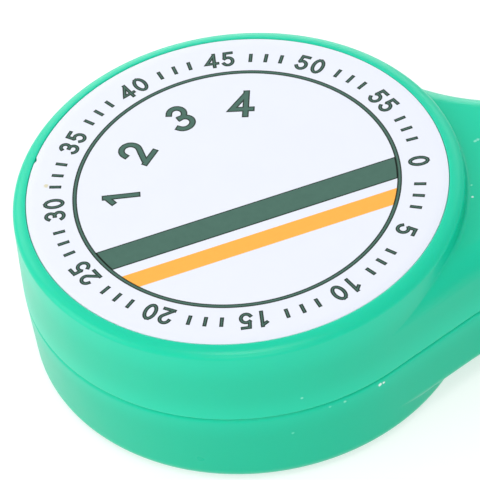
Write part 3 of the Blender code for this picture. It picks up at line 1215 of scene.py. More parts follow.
@dataclass(frozen=True)
class Numerals:
    """Plain numerals, each drawn as strokes of one width on a grid one unit high."""

    height: float
    stroke: float
    width: float = 0.56
    gap: float = 0.14
    arc_steps: int = 24

    def arc(
        self, centre: tuple[float, float], reach: tuple[float, float], start: float, end: float
    ) -> list[tuple[float, float]]:
        """Draw a round stretch.

        Args:
            centre: its centre on the grid.
            reach: its two half-widths.
            start: where it starts, in degrees.
            end: where it ends, in degrees.

        Returns:
            Its points.
        """
        turns = np.radians(np.linspace(start, end, self.arc_steps))
        return [
            (centre[0] + reach[0] * math.cos(t), centre[1] + reach[1] * math.sin(t)) for t in turns
        ]

    def strokes(self, digit: str) -> list[list[tuple[float, float]]]:
        """Give the middle lines of a digit's strokes.

        Args:
            digit: one of the digits from 0 to 5.

        Returns:
            The points of each stroke.
        """
        shapes = {
            "0": [self.arc((0.28, 0.5), (0.28, 0.5), 90, 460)],
            "1": [[(0.36, 0.0), (0.36, 1.0)], [(0.33, 0.94), (0.12, 0.78)]],
            "2": [
                self.arc((0.28, 0.71), (0.27, 0.29), 172, -42) + [(0.10, 0.10)],
                [(0.0, 0.0), (0.56, 0.0)],
            ],
            "3": [
                self.arc((0.26, 0.75), (0.24, 0.25), 152, -90),
                self.arc((0.26, 0.26), (0.28, 0.26), 90, -152),
            ],
            "4": [[(0.38, 0.90), (-0.02, 0.26), (0.60, 0.26)], [(0.42, 1.0), (0.42, 0.0)]],
            "5": [
                [(0.50, 1.0), (0.11, 1.0), (0.08, 0.60)],
                self.arc((0.26, 0.31), (0.28, 0.31), 126, -150),
            ],
        }
        return shapes[digit]

    def quads(self, text: str, inset: float) -> list[np.ndarray]:
        """Give a number's strokes their width, inset all round.

        Args:
            text: the number.
            inset: how much narrower and shorter than full each stroke is, on each side.

        Returns:
            The corners of the quads that cover the strokes, centred on the number.
        """
        scale = self.height - self.stroke
        pitch = self.width * scale + self.stroke + self.gap * self.height
        half, quads = self.stroke / 2 - inset, []
        for i, digit in enumerate(text):
            aside = (i - (len(text) - 1) / 2) * pitch - self.width * scale / 2
            for stroke in self.strokes(digit):
                line = np.array(stroke) * scale + [aside, -scale / 2]
                steps = np.diff(line, axis=0)
                ways = steps / np.linalg.norm(steps, axis=1)[:, None]
                line[0] -= ways[0] * half
                line[-1] += ways[-1] * half
                sides = np.stack([-ways[:, 1], ways[:, 0]], 1)
                before, after = np.vstack([sides[:1], sides]), np.vstack([sides, sides[-1:]])
                mitre = (before + after) / (1 + (before * after).sum(1))[:, None]
                left, right = line + mitre * half, line - mitre * half
                quads += list(np.stack([right[:-1], right[1:], left[1:], left[:-1]], 1))
        return quads


@dataclass
class Label:
    """The round printed film in the recess of the upper half."""

    radius: float
    bottom: float
    top: float
    slip: tuple[float, float] = (-0.08, 0.05)
    adhesive_gap: float = 0.1
    columns: int = 720
    film_shares: tuple[float, ...] = (0.3, 0.7, 0.95)
    edge: float = 0.04
    edge_steps: int = 3
    nick_angle: float = math.radians(159.7)
    nick_depth: float = 0.13
    nick_width: float = 0.25
    ring_radius: float = 14.6
    ring_width: float = 0.42
    outline: float = 0.125
    ink_thickness: float = 0.006
    core_rise: float = 0.001
    dial_radius: float = 16.45
    dial_numbers: int = 12
    dial_step: int = 5
    dial_height: float = 1.95
    dial_stroke: float = 0.36
    places_per_number: int = 3
    ticks_between: int = 3
    tick_length: float = 1.1
    tick_width: float = 0.36
    inner_radius: float = 10.4
    inner_height: float = 3.5
    inner_stroke: float = 0.62
    inner_numbers: tuple[int, ...] = (1, 2, 3, 4)
    inner_start: float = math.radians(178)
    inner_step: float = math.radians(-32)
    band_turn: float = math.radians(14)
    band_points: int = 12
    green_band: tuple[float, float] = (2.6, 5.2)
    orange_band: tuple[float, float] = (6.3, 8.1)

    def film(self) -> bpy.types.Object:
        """Model the film, with the small nick in its edge.

        Returns:
            The film.
        """
        angles = np.arange(self.columns) / self.columns * math.tau
        away = (angles - self.nick_angle) * self.radius
        edge = self.radius - self.nick_depth * np.exp(-((away / self.nick_width) ** 4))
        radii = [share * self.radius for share in self.film_shares]
        rows = [ring(angles, radius, self.bottom) for radius in radii]
        rows.append(ring(angles, edge, self.bottom))
        for step in range(self.edge_steps + 1):
            turn = math.pi / 2 * step / self.edge_steps
            inset = self.edge * (1 - math.cos(turn))
            height = self.top - self.edge * (1 - math.sin(turn))
            rows.append(ring(angles, edge - inset, height))
        rows += [ring(angles, radius, self.top) for radius in reversed(radii)]
        mesh = skinned("label_film", rows)
        mesh.transform(Matrix.Translation(Vector((*self.slip, 0.0)) * MM))
        shade(mesh, math.radians(50))
        return link("label_film", mesh)

    def layer(self, core: bool) -> tuple[float, float]:
        """Give the bottom and top of an ink layer, the outline's or the core's."""
        low = self.top + (self.ink_thickness + self.core_rise if core else self.core_rise)
        return low, low + self.ink_thickness

    def circle(self, core: bool) -> bpy.types.Mesh:
        """Model one ink layer of the printed circle.

        Args:
            core: make the lighter core, or else the dark outline.

        Returns:
            The flat ring.
        """
        angles = np.arange(self.columns) / self.columns * math.tau
        low, high = self.layer(core)
        half = self.ring_width / 2 - (self.outline if core else 0.0)
        inner, outer = self.ring_radius - half, self.ring_radius + half
        corners = ((inner, low), (outer, low), (outer, high), (inner, high))
        rows = [ring(angles, radius, height) for radius, height in corners]
        return skinned("circle", rows, poles=False)

    def glyphs(
        self, text: str, sizes: tuple[float, float], angle: float, radius: float, core: bool
    ) -> bpy.types.Mesh:
        """Model one ink layer of a number whose top faces outwards.

        Args:
            text: the number.
            sizes: height of a digit and width of its strokes.
            angle: direction of the number in plan.
            radius: of the number's middle.
            core: make the lighter core, or else the dark outline.

        Returns:
            The number's closed mesh.
        """
        height, stroke = sizes
        inset = self.outline if core else 0.0
        quads = Numerals(height, stroke).quads(text, inset)
        along = np.array([math.sin(angle), -math.cos(angle)])
        out = np.array([math.cos(angle), math.sin(angle)])
        corners = [radius * out + x * along + y * out for quad in quads for x, y in quad]
        faces = [tuple(range(i, i + 4)) for i in range(0, len(corners), 4)]
        inside_only, closeness = 1, 1e-5
        spots = [Vector(corner) for corner in corners]
        union = delaunay_2d_cdt(spots, [], faces, inside_only, closeness)
        return self.pressed(union, core)

    def pressed(self, union: tuple, core: bool) -> bpy.types.Mesh:
        """Give a flat union of polygons an ink layer's thickness.

        Args:
            union: points, edges, faces and their origins, as the flat triangulation gives them.
            core: make the lighter core, or else the dark outline.

        Returns:
            The closed mesh.
        """
        low, high = self.layer(core)
        points, _, faces, _, _, origins = union
        bm = bmesh.new()
        spots = [bm.verts.new((x * MM, y * MM, low * MM)) for x, y in points]
        for face, origin in zip(faces, origins):
            if origin:
                bm.faces.new([spots[i] for i in face])
        bmesh.ops.delete(bm, geom=[v for v in bm.verts if not v.link_faces], context="VERTS")
        grown_up = bmesh.ops.extrude_face_region(bm, geom=bm.faces[:], use_keep_orig=True)
        lifted = [v for v in grown_up["geom"] if isinstance(v, bmesh.types.BMVert)]
        bmesh.ops.translate(bm, verts=lifted, vec=(0.0, 0.0, (high - low) * MM))
        bmesh.ops.triangulate(bm, faces=bm.faces)
        bmesh.ops.recalc_face_normals(bm, faces=bm.faces)
        mesh = bpy.data.meshes.new("number")
        bm.to_mesh(mesh)
        bm.free()
        return mesh

    def band(self, near: float, far: float, core: bool) -> bpy.types.Mesh:
        """Model one ink layer of a straight band that the printed circle cuts off.

        Args:
            near: distance of its near edge from the middle.
            far: distance of its far edge from the middle.
            core: make the lighter core, or else the dark outline.

        Returns:
            The band's closed mesh.
        """
        low, high = self.layer(core)
        inset = self.outline if core else 0.0
        radius = self.ring_radius - self.ring_width / 2 + self.outline / 2 - inset
        starts = (math.asin((near + inset) / radius), math.asin((far - inset) / radius))
        right = np.linspace(starts[0], starts[1], self.band_points)
        outline = np.concatenate([right, math.pi - right[::-1]]) + math.pi + self.band_turn
        rows = [ring(outline, radius, height) for height in (low, high)]
        return skinned("band", rows)

    @staticmethod
    def tick_tree() -> bpy.types.GeometryNodeTree:
        """Build the tree that sets flat bars round a dial, clear of its numbers.

        Returns:
            The tree.
        """
        tree = bpy.data.node_groups.new("dial_ticks", "GeometryNodeTree")
        wiring = Wiring(tree)
        values = {"Count": 72, "Skip": 6, "Radius": 0.016, "Length": 0.001, "Width": 0.0003}
        inputs = wiring.group_inputs(values | {"Low": 0.0, "High": 0.0, "Material": None})
        circle = wiring.node(
            "GeometryNodeMeshCircle", {"Vertices": inputs["Count"], "Radius": inputs["Radius"]}
        )
        clear = 1.5
        index = wiring.node("GeometryNodeInputIndex").outputs[0]
        step = wiring.maths("MODULO", index, inputs["Skip"])
        after = wiring.maths("GREATER_THAN", step, clear)
        before = wiring.maths("LESS_THAN", step, wiring.maths("SUBTRACT", inputs["Skip"], clear))
        between = wiring.maths("MULTIPLY", after, before)
        thickness = wiring.maths("SUBTRACT", inputs["High"], inputs["Low"])
        size = wiring.node(
            "ShaderNodeCombineXYZ",
            {"X": inputs["Length"], "Y": inputs["Width"], "Z": thickness},
        )
        bar = wiring.node("GeometryNodeMeshCube", {"Size": size.outputs[0]})
        outward = wiring.node("GeometryNodeInputPosition").outputs[0]
        turn = wiring.node("FunctionNodeAlignRotationToVector", {"Vector": outward}, axis="X")
        bars = wiring.node(
            "GeometryNodeInstanceOnPoints",
            {
                "Points": circle.outputs["Mesh"],
                "Selection": between,
                "Instance": bar.outputs["Mesh"],
                "Rotation": turn.outputs[0],
            },
        )
        middle = wiring.maths("ADD", inputs["High"], inputs["Low"])
        lift = wiring.node("ShaderNodeCombineXYZ", {"Z": wiring.maths("MULTIPLY", middle, 0.5)})
        lifted = wiring.node(
            "GeometryNodeTransform",
            {"Geometry": bars.outputs["Instances"], "Translation": lift.outputs[0]},
        )
        finish_tree(wiring, lifted.outputs[0], inputs["Material"])
        return tree

    def ticks(self, tree: bpy.types.GeometryNodeTree, core: bool) -> bpy.types.Mesh:
        """Model one ink layer of the dial's ticks.

        Args:
            tree: the tree that sets them out.
            core: make the lighter core, or else the dark outline.

        Returns:
            The ticks' closed mesh.
        """
        low, high = self.layer(core)
        inset = 2 * self.outline if core else 0.0
        skip = self.ticks_between + self.places_per_number
        sizes = {
            "Radius": self.dial_radius,
            "Length": self.tick_length - inset,
            "Width": self.tick_width - inset,
            "Low": low,
            "High": high,
        }
        values = {name: size * MM for name, size in sizes.items()}
        values |= {"Count": self.dial_numbers * skip, "Skip": skip}
        mesh = grown("ticks", tree, values)
        tidy_mesh(mesh)
        return mesh

    def printed(self, name: str, meshes: list[bpy.types.Mesh], finish: Finish) -> bpy.types.Object:
        """Join ink meshes into one piece that lies on the film.

        Args:
            name: name of the piece.
            meshes: its closed meshes.
            finish: its ink.

        Returns:
            The piece.
        """
        bm = bmesh.new()
        for mesh in meshes:
            bm.from_mesh(mesh)
        joined = bpy.data.meshes.new(name)
        bm.to_mesh(joined)
        bm.free()
        joined.transform(Matrix.Translation(Vector((*self.slip, 0.0)) * MM))
        joined.materials.clear()
        joined.materials.append(finish.make())
        return link(name, joined)

    def strokes(self, tree: bpy.types.GeometryNodeTree, core: bool) -> list[bpy.types.Mesh]:
        """Gather one ink layer of everything that is printed in green.

        Args:
            tree: the tree that sets out the ticks.
            core: gather the lighter cores, or else the dark outlines.

        Returns:
            The closed meshes.
        """
        band = self.band(*self.green_band, core)
        meshes = [self.circle(core), self.ticks(tree, core), band]
        for i in range(self.dial_numbers):
            angle = -math.tau * i / self.dial_numbers
            text = str(i * self.dial_step)
            sizes = (self.dial_height, self.dial_stroke)
            meshes.append(self.glyphs(text, sizes, angle, self.dial_radius, core))
        for i, number in enumerate(self.inner_numbers):
            angle = self.inner_start + i * self.inner_step
            sizes = (self.inner_height, self.inner_stroke)
            meshes.append(self.glyphs(str(number), sizes, angle, self.inner_radius, core))
        return meshes

    def build(self) -> list[bpy.types.Object]:
        """Model and dress the film and its print.

        Returns:
            The pieces, the film first.
        """
        film = self.film()
        film.data.materials.append(LABEL_WHITE.make())
        tree = self.tick_tree()
        return [
            film,
            self.printed("print_outline", self.strokes(tree, False), INK_DARK),
            self.printed("print_green", self.strokes(tree, True), INK_GREEN),
            self.printed("print_orange", [self.band(*self.orange_band, False)], INK_ORANGE),
        ]


@dataclass
class Reel:
    """The flanged bobbin on the post, and the braid that is wound on it."""

    bottom: float
    top: float
    flange_radius: float
    coil_outer: float
    coil_bottom: float
    coil_top: float
    bore: float
    columns: int = 160
    edge: float = 0.2
    edge_steps: int = 4
    flange: float = 1.0
    hub_wall: float = 1.5
    hub_gap: float = 0.3
    lanes: int = 3
    turns: int = 10
    steps_per_turn: int = 72
    strip_thickness: float = 0.44
    strip_width: float = 3.0

    @property
    def coil_inner(self) -> float:
        """Give the inner radius of the winding, just outside the hub."""
        return self.bore + self.hub_wall + self.hub_gap

    def bobbin(self) -> bpy.types.Object:
        """Turn the bobbin, with rounded flanges and a plain hub.

        Returns:
            The bobbin.
        """
        hub, out, edge = self.coil_inner - self.hub_gap, self.flange_radius, self.edge
        low_face, high_face = self.bottom + self.flange, self.top - self.flange
        profile = [(self.bore + edge, self.bottom)]
        profile += self.corner(out - edge, self.bottom + edge, -math.pi / 2)
        profile += self.corner(out - edge, low_face - edge, 0.0)
        profile += [(hub + edge, low_face), (hub, low_face + edge)]
        profile += [(hub, high_face - edge), (hub + edge, high_face)]
        profile += self.corner(out - edge, high_face + edge, -math.pi / 2)
        profile += self.corner(out - edge, self.top - edge, 0.0)
        profile += [(self.bore + edge, self.top), (self.bore, self.top - edge)]
        profile.append((self.bore, self.bottom + edge))
        angles = np.arange(self.columns) / self.columns * math.tau
        mesh = skinned("bobbin", [ring(angles, r, z) for r, z in profile], poles=False)
        shade(mesh)
        return link("bobbin", mesh)

    def corner(self, radius: float, height: float, start: float) -> list[tuple[float, float]]:
        """Round a quarter of a flange's edge.

        Args:
            radius: of the rounding's centre about the axis.
            height: of the rounding's centre.
            start: direction of its first point.

        Returns:
            Points of the profile.
        """
        edge, steps = self.edge, self.edge_steps
        turns = [start + math.pi / 2 * step / steps for step in range(steps + 1)]
        return [(radius + edge * math.cos(t), height + edge * math.sin(t)) for t in turns]

    def wound_paths(self) -> bpy.types.Mesh:
        """Lay the middle lines of the wound braid, a flat spiral in each lane.

        Returns:
            A mesh of edges alone.
        """
        count = self.turns * self.steps_per_turn
        share = np.arange(count + 1) / count
        half = self.strip_thickness / 2
        radius = self.coil_inner + half + (self.coil_outer - self.coil_inner - 2 * half) * share
        lane_pitch = (self.coil_top - self.coil_bottom) / self.lanes
        points, edges = [], []
        for lane in range(self.lanes):
            first = len(points)
            height = self.coil_bottom + (lane + 0.5) * lane_pitch
            start = math.tau * lane / self.lanes
            row = ring(math.tau * self.turns * share + start, radius, height)
            points += (row * MM).tolist()
            edges += [(first + i, first + i + 1) for i in range(count)]
        mesh = bpy.data.meshes.new("wound_paths")
        mesh.from_pydata(points, edges, [])
        return mesh

    def build(self, tree: bpy.types.GeometryNodeTree) -> list[bpy.types.Object]:
        """Model and dress the bobbin and the wound braid.

        Args:
            tree: the tree that sweeps a flat strip.

        Returns:
            The bobbin and the winding.
        """
        bobbin = self.bobbin()
        bobbin.data.materials.append(REEL_WHITE.make())
        values = {
            "Width": self.strip_width * MM,
            "Thickness": self.strip_thickness * MM,
            "Material": COPPER_STRIP.make(),
        }
        winding = grown("wound_braid", tree, values, self.wound_paths())
        tidy_mesh(winding)
        shade(winding, math.radians(60))
        return [bobbin, link("wound_braid", winding)]


def strip_tree() -> bpy.types.GeometryNodeTree:
    """Build the tree that sweeps a flat strip with rounded edges along paths.

    Returns:
        The tree.
    """
    tree = bpy.data.node_groups.new("flat_strip", "GeometryNodeTree")
    wiring = Wiring(tree)
    tree.interface.new_socket("Paths", in_out="INPUT", socket_type="NodeSocketGeometry")
    inputs = wiring.group_inputs({"Width": 0.003, "Thickness": 0.0005, "Material": None})
    curve = wiring.node("GeometryNodeMeshToCurve", {"Mesh": inputs["Paths"]})
    upright = wiring.node(
        "GeometryNodeSetCurveNormal", {"Curve": curve.outputs[0]}, mode="Z_UP"
    )
    travel = wiring.node("GeometryNodeSplineParameter").outputs["Length"]
    travel_mm = wiring.maths("DIVIDE", travel, MM)
    marked = wiring.node(
        "GeometryNodeStoreNamedAttribute",
        {"Geometry": upright.outputs[0], "Name": "along", "Value": travel_mm},
        data_type="FLOAT",
        domain="POINT",
    )
    outline = wiring.node(
        "GeometryNodeCurvePrimitiveQuadrilateral",
        {"Width": inputs["Thickness"], "Height": inputs["Width"]},
    )
    rounded_share = 0.42
    rounding = wiring.maths("MULTIPLY", inputs["Thickness"], rounded_share)
    profile = wiring.node(
        "GeometryNodeFilletCurve",
        {"Curve": outline.outputs[0], "Radius": rounding, "Count": 2},
        mode="POLY",
    )
    place = wiring.node("GeometryNodeInputPosition").outputs[0]
    side = wiring.node("ShaderNodeSeparateXYZ", {"Vector": place}).outputs["Y"]
    side_mm = wiring.maths("DIVIDE", side, MM)
    profile_marked = wiring.node(
        "GeometryNodeStoreNamedAttribute",
        {"Geometry": profile.outputs[0], "Name": "across", "Value": side_mm},
        data_type="FLOAT",
        domain="POINT",
    )
    swept = wiring.node(
        "GeometryNodeCurveToMesh",
        {
            "Curve": marked.outputs[0],
            "Profile Curve": profile_marked.outputs[0],
            "Fill Caps": True,
        },
    )
    finish_tree(wiring, swept.outputs[0], inputs["Material"])
    return tree


@dataclass
class Braid:
    """The flat braid from the coil through the nose, woven wire by wire where it shows."""

    coil_outer: float
    tip: float
    level: float
    width: float
    thickness: float
    nose_length: float
    wall: float = 1.8
    guide_length: float = 4.0
    bend_radius: float = 6.0
    coil_gap: float = 0.3
    woven_start: float = 39.4
    bundles: int = 12
    wires: int = 4
    turn_length: float = 7.2
    wire_radius: float = 0.047
    lift: float = 0.052
    skin_margin: float = 0.02
    hidden_slack: float = 0.06
    steps_per_mm: float = 11.0
    seed: int = 5

    SWEEP_LIMIT = 0.985

    def path(self) -> bpy.types.Mesh:
        """Lay the middle line from the coil to where the woven part starts.

        Returns:
            A mesh of edges alone.
        """
        radius = self.coil_outer + self.coil_gap + self.thickness / 2
        meeting = self.nose_length - self.wall - self.guide_length - self.bend_radius / 2
        leave = math.acos(radius / meeting)
        slope = math.pi / 2 - leave
        centre_x = meeting + self.bend_radius * math.tan(slope / 2)
        start = (radius * math.cos(leave), radius * math.sin(leave))
        bend_points, run_points, end_points = 12, 24, 8
        turns = np.linspace(1.5 * math.pi - slope, 1.5 * math.pi, bend_points)
        bend = [
            (centre_x + self.bend_radius * math.cos(t), self.bend_radius * (1 + math.sin(t)))
            for t in turns
        ]
        lead_in = [
            (start[0] + (bend[0][0] - start[0]) * s, start[1] + (bend[0][1] - start[1]) * s)
            for s in np.linspace(0.0, 1.0, run_points)[:-1]
        ]
        straight = np.linspace(bend[-1][0], self.woven_start, end_points)[1:]
        flat = lead_in + bend + [(x, 0.0) for x in straight]
        points = [(x * MM, y * MM, self.level * MM) for x, y in flat]
        mesh = bpy.data.meshes.new("lead_path")
        mesh.from_pydata(points, [(i, i + 1) for i in range(len(points) - 1)], [])
        return mesh

    @staticmethod
    def weave_tree() -> bpy.types.GeometryNodeTree:
        """Build the tree that weaves a flattened tube of wire bundles along X.

        Every bundle winds round the flat tube, half of them each way, and passes over two
        bundles and under two. The last stretch splays a little.

        Returns:
            The tree.
        """
        tree = bpy.data.node_groups.new("flat_weave_wires", "GeometryNodeTree")
        wiring = Wiring(tree)
        m = wiring.maths
        bundle_fill, firmness, edge_bulge, shade_step = 0.92, 1.3, 0.16, 0.618
        inputs = wiring.group_inputs(
            {
                "Bundles": 12,
                "Wires": 4,
                "Steps": 120,
                "Start": 0.04,
                "Length": 0.012,
                "Turn Length": 0.0072,
                "Reach": 0.0014,
                "Skin": 0.000125,
                "Lift": 0.00005,
                "Level": 0.008,
                "Wire Radius": 0.00005,
                "Fray Length": 0.0011,
                "Fray": 0.00035,
                "Seed": 5,
                "Material": None,
            }
        )
        line = wiring.node("GeometryNodeCurvePrimitiveLine", {"End": (1.0, 0.0, 0.0)})
        fine_line = wiring.node(
            "GeometryNodeResampleCurve", {"Curve": line.outputs[0], "Count": inputs["Steps"]}
        )
        one_way = m("MULTIPLY", inputs["Bundles"], inputs["Wires"])
        seeds = wiring.node("GeometryNodePoints", {"Count": m("MULTIPLY", one_way, 2.0)})
        copies = wiring.node(
            "GeometryNodeInstanceOnPoints",
            {"Points": seeds.outputs[0], "Instance": fine_line.outputs[0]},
        )
        lines = wiring.node("GeometryNodeRealizeInstances", {"Geometry": copies.outputs[0]})
        index = wiring.node("GeometryNodeInputIndex").outputs[0]
        on_line = wiring.node(
            "GeometryNodeFieldOnDomain", data_type="INT", domain="CURVE"
        )
        wiring.feed(on_line.inputs[0], index)
        strand = on_line.outputs[0]
        wire = m("MODULO", strand, inputs["Wires"])
        bundle = m("MODULO", m("FLOOR", m("DIVIDE", strand, inputs["Wires"])), inputs["Bundles"])
        way = m("FLOOR", m("DIVIDE", m("ADD", strand, 0.5), one_way))
        sign = m("MULTIPLY_ADD", way, -2.0, 1.0)
        place = wiring.node("GeometryNodeInputPosition").outputs[0]
        share = wiring.node("ShaderNodeSeparateXYZ", {"Vector": place}).outputs["X"]
        trim = wiring.node("FunctionNodeRandomValue", data_type="FLOAT")
        for key, value in (("Min", 0.975), ("Max", 1.0), ("ID", strand), ("Seed", inputs["Seed"])):
            sockets = [s for s in trim.inputs if s.name == key and s.enabled]
            wiring.feed(sockets[0], value)
        trimmed = [s for s in trim.outputs if s.enabled][0]
        travel = m("MULTIPLY", m("MULTIPLY", share, inputs["Length"]), trimmed)
        centred = m("SUBTRACT", wire, m("MULTIPLY", m("SUBTRACT", inputs["Wires"], 1.0), 0.5))
        aside = m("MULTIPLY", m("DIVIDE", centred, inputs["Wires"]), bundle_fill)
        start_turn = m("DIVIDE", m("ADD", bundle, aside), inputs["Bundles"])
        advance = m("MULTIPLY", sign, m("DIVIDE", travel, inputs["Turn Length"]))
        around = m("MULTIPLY", m("ADD", start_turn, advance), math.tau)
        crossings = m("MULTIPLY", m("MULTIPLY", advance, inputs["Bundles"]), 2.0)
        phase = m("SUBTRACT", m("MULTIPLY_ADD", bundle, 2.0, crossings), 0.5)
        wave = m("COSINE", m("MULTIPLY", phase, math.pi / 2))
        firm = m("MINIMUM", m("MAXIMUM", m("MULTIPLY", wave, firmness), -1.0), 1.0)
        offset = m("MULTIPLY_ADD", m("MULTIPLY", firm, sign), inputs["Lift"], inputs["Skin"])
        edge_share = m("MULTIPLY", m("COSINE", around), edge_bulge)
        face_share = m("SINE", around)
        edge_square = m("POWER", m("ABSOLUTE", edge_share), 2.0)
        norm = m("SQRT", m("ADD", edge_square, m("MULTIPLY", face_share, face_share)))
        limited = m("MULTIPLY", m("COSINE", around), Braid.SWEEP_LIMIT)
        sweep = m("MULTIPLY", m("ARCSINE", limited), 2 / math.pi)
        out_width = m("MULTIPLY", offset, m("DIVIDE", edge_share, norm))
        width = m("MULTIPLY_ADD", sweep, inputs["Reach"], out_width)
        depth = m("MULTIPLY", offset, m("DIVIDE", face_share, norm))
        flat = wiring.node(
            "ShaderNodeCombineXYZ",
            {
                "X": m("ADD", inputs["Start"], travel),
                "Y": depth,
                "Z": m("ADD", inputs["Level"], width),
            },
        )
        free = m("SUBTRACT", travel, m("SUBTRACT", inputs["Length"], inputs["Fray Length"]))
        splay = m("DIVIDE", m("MAXIMUM", free, 0.0), inputs["Fray Length"])
        splay_size = m("MULTIPLY", m("POWER", splay, 2.0), inputs["Fray"])
        stray = wiring.node("FunctionNodeRandomValue", data_type="FLOAT_VECTOR")
        for key, value in (
            ("Min", (-0.2, -0.5, -0.8)),
            ("Max", (0.0, 0.5, 0.8)),
            ("ID", strand),
            ("Seed", m("ADD", inputs["Seed"], 1.0)),
        ):
            sockets = [s for s in stray.inputs if s.name == key and s.enabled]
            wiring.feed(sockets[0], value)
        strayed = [s for s in stray.outputs if s.enabled][0]
        shift = wiring.node("ShaderNodeVectorMath", operation="SCALE")
        wiring.feed(shift.inputs[0], strayed)
        wiring.feed(shift.inputs["Scale"], splay_size)
        woven = wiring.node(
            "GeometryNodeSetPosition",
            {
                "Geometry": lines.outputs[0],
                "Position": flat.outputs[0],
                "Offset": shift.outputs[0],
            },
        )
        shade_value = m("FRACT", m("MULTIPLY", strand, shade_step))
        marked = wiring.node(
            "GeometryNodeStoreNamedAttribute",
            {"Geometry": woven.outputs[0], "Name": "strand", "Value": shade_value},
            data_type="FLOAT",
            domain="CURVE",
        )
        profile = wiring.node(
            "GeometryNodeCurvePrimitiveCircle",
            {"Resolution": 5, "Radius": inputs["Wire Radius"]},
            mode="RADIUS",
        )
        wires = wiring.node(
            "GeometryNodeCurveToMesh",
            {"Curve": marked.outputs[0], "Profile Curve": profile.outputs[0], "Fill Caps": True},
        )
        finish_tree(wiring, wires.outputs[0], inputs["Material"])
        return tree

    def build(self, strip: bpy.types.GeometryNodeTree) -> list[bpy.types.Object]:
        """Model and dress the hidden strip and the woven end.

        Args:
            strip: the tree that sweeps a flat strip.

        Returns:
            The two pieces.
        """
        values = {
            "Width": self.width * MM,
            "Thickness": (self.thickness - self.hidden_slack) * MM,
            "Material": COPPER_STRIP.make(),
        }
        hidden = grown("braid_strip", strip, values, self.path())
        tidy_mesh(hidden)
        shade(hidden, math.radians(60))
        length = self.tip - self.woven_start
        skin = self.thickness / 2 - self.wire_radius - self.lift - self.skin_margin
        sweep_end = math.asin(self.SWEEP_LIMIT) * 2 / math.pi
        reach = (self.width / 2 - skin - self.lift - self.wire_radius) / sweep_end
        sizes = {
            "Start": self.woven_start,
            "Length": length,
            "Turn Length": self.turn_length,
            "Reach": reach,
            "Skin": skin,
            "Lift": self.lift,
            "Level": self.level,
            "Wire Radius": self.wire_radius,
        }
        values = {name: size * MM for name, size in sizes.items()}
        values |= {
            "Bundles": self.bundles,
            "Wires": self.wires,
            "Steps": round(length * self.steps_per_mm),
            "Seed": self.seed,
            "Material": COPPER_WIRE.make(),
        }
        woven = grown("braid_weave", self.weave_tree(), values)
        tidy_mesh(woven)
        shade(woven, math.radians(70))
        return [link("braid_strip", hidden), link("braid_weave", woven)]


@dataclass(frozen=True)
class Lamp:
    """A square area light: its place and its side in millimetres, and its power in watts."""

    name: str
    place: Place
    side: float
    power: float


LAMPS = (
    Lamp("overhead", (-20.0, -120.0, 430.0), 165.0, 0.42),
    Lamp("left", (-420.0, -60.0, 200.0), 300.0, 0.62),
    Lamp("back_left", (-300.0, 330.0, 290.0), 260.0, 0.45),
    Lamp("back_right", (300.0, 460.0, 330.0), 260.0, 0.28),
    Lamp("back", (0.0, 520.0, 140.0), 400.0, 1.05),
    Lamp("front", (-40.0, -400.0, 300.0), 300.0, 0.5),
)


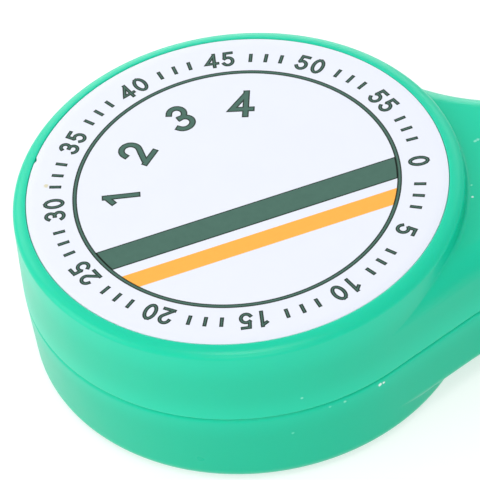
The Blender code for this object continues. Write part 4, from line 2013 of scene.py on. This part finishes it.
@dataclass
class Studio:
    """The camera, floor and lights."""

    label_height: float
    image_pixels: float = 480.0
    focal_pixels: float = 3600.0
    sensor: float = 36.0
    distance: float = 322.07
    elevation: float = math.radians(45.357)
    pan: float = math.radians(-0.111)
    tilt: float = math.radians(46.218)
    roll: float = math.radians(-7.760)
    sky: float = 0.62
    floor_colour: Colour = (0.5, 0.5, 0.5)
    floor_glow: float = 0.58
    floor_half_side: float = 1500.0
    floor_drop: float = 0.02
    aim_height: float = 8.0
    clip: tuple[float, float] = (0.01, 10.0)
    lamps: tuple[Lamp, ...] = LAMPS

    def add_camera(self) -> None:
        """Place the camera at the photograph's viewpoint."""
        data = bpy.data.cameras.new("camera")
        data.sensor_width = self.sensor
        data.lens = self.focal_pixels / self.image_pixels * self.sensor
        data.clip_start, data.clip_end = self.clip
        camera = bpy.data.objects.new("camera", data)
        bpy.context.scene.collection.objects.link(camera)
        cos_tilt, sin_tilt = math.cos(self.tilt), math.sin(self.tilt)
        ahead = Vector((math.sin(self.pan) * cos_tilt, math.cos(self.pan) * cos_tilt, -sin_tilt))
        level = Vector((math.cos(self.pan), -math.sin(self.pan), 0.0))
        up = level.cross(ahead)
        right = math.cos(self.roll) * level + math.sin(self.roll) * up
        top = -math.sin(self.roll) * level + math.cos(self.roll) * up
        back = -self.distance * math.cos(self.elevation)
        rise = self.label_height + self.distance * math.sin(self.elevation)
        turn = Matrix((right, top, -ahead)).transposed()
        place = Matrix.Translation(Vector((0.0, back, rise)) * MM)
        camera.matrix_world = place @ turn.to_4x4()
        bpy.context.scene.camera = camera

    def add_light(self, lamp: Lamp) -> None:
        """Aim a square area light at the object.

        Args:
            lamp: the light.
        """
        data = bpy.data.lights.new(lamp.name, "AREA")
        data.shape = "SQUARE"
        data.size = lamp.side * MM
        data.energy = lamp.power
        light = bpy.data.objects.new(lamp.name, data)
        bpy.context.scene.collection.objects.link(light)
        spot = Vector(lamp.place) * MM
        light.location = spot
        light.rotation_mode = "QUATERNION"
        aim = Vector((0.0, 0.0, self.aim_height * MM))
        light.rotation_quaternion = (aim - spot).to_track_quat("-Z", "Y")

    def add_floor(self) -> None:
        """Lay the plain pale floor just under the object."""
        mesh = bpy.data.meshes.new("floor")
        bm = bmesh.new()
        bmesh.ops.create_grid(bm, x_segments=1, y_segments=1, size=self.floor_half_side * MM)
        bmesh.ops.translate(bm, verts=bm.verts, vec=(0, 0, -self.floor_drop * MM))
        bm.to_mesh(mesh)
        bm.free()
        floor = link("floor", mesh)
        white = Finish(
            "floor_white",
            self.floor_colour,
            self.floor_colour,
            roughness=0.8,
            specular=0.1,
            emission=self.floor_glow,
        )
        floor.data.materials.append(white.make())

    def build(self) -> None:
        """Set up the whole studio."""
        scene = bpy.context.scene
        scene.view_settings.view_transform = "Standard"
        world = bpy.data.worlds.new("studio")
        scene.world = world
        world.use_nodes = True
        background = world.node_tree.nodes["Background"]
        background.inputs["Color"].default_value = (1.0, 1.0, 1.0, 1.0)
        background.inputs["Strength"].default_value = self.sky
        self.add_floor()
        for lamp in self.lamps:
            self.add_light(lamp)
        self.add_camera()


def place_pieces(
    pieces: list[bpy.types.Object], body: str, nodes: tuple[str, ...] = ()
) -> None:
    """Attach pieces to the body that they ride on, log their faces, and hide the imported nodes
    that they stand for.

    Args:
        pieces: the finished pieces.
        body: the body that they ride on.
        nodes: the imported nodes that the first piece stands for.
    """
    for piece in pieces:
        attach(piece, body)
        LOG.info("%s: %d faces on %s", piece.name, len(piece.data.polygons), body)
    if nodes:
        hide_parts(*nodes)


def main() -> None:
    """Build and dress every piece."""
    logging.basicConfig(level=logging.INFO, format="%(message)s")
    shell_low, shell_high = corners_mm("upper_shell")
    label_low, label_high = corners_mm("label")
    reel_low, reel_high = corners_mm("reel")
    coil_low, coil_high = corners_mm("braid_coil")
    lead_low, lead_high = corners_mm("braid_lead")
    level = (lead_low.z + lead_high.z) / 2

    Studio(label_high.z).build()
    form = CaseForm(-shell_low.x, shell_high.z, shell_high.x)
    label = Label(label_high.x, label_low.z, label_high.z)
    recess_floor = label.bottom - label.adhesive_gap
    case = Case(form, label.radius, label.slip, recess_floor, level)
    for half, name, node, slot, plastic in (
        (Half.UPPER, "upper_case", "upper_shell", "upper_plastic", MINT_PLASTIC),
        (Half.LOWER, "lower_case", "lower_shell", "lower_plastic", SHADED_LOWER_PLASTIC),
    ):
        shell = case.build(half, name)
        shell.data.materials.append(plastic.make())
        place_pieces([shell], "case", (node,))

    place_pieces(label.build(), "case", ("label",))

    strip = strip_tree()
    reel = Reel(
        reel_low.z,
        reel_high.z,
        reel_high.x,
        coil_outer=coil_high.x,
        coil_bottom=coil_low.z,
        coil_top=coil_high.z,
        bore=case.post_radius + case.bearing_gap,
    )
    bobbin, winding = reel.build(strip)
    place_pieces([bobbin], "reel", ("reel",))
    place_pieces([winding], "reel", ("braid_coil",))

    width = lead_high.z - lead_low.z
    braid = Braid(coil_high.x, lead_high.x, level, width, -2 * lead_low.y, shell_high.x)
    place_pieces(braid.build(strip), "case", ("braid_lead",))


if __name__ == "__main__":
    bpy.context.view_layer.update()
    main()
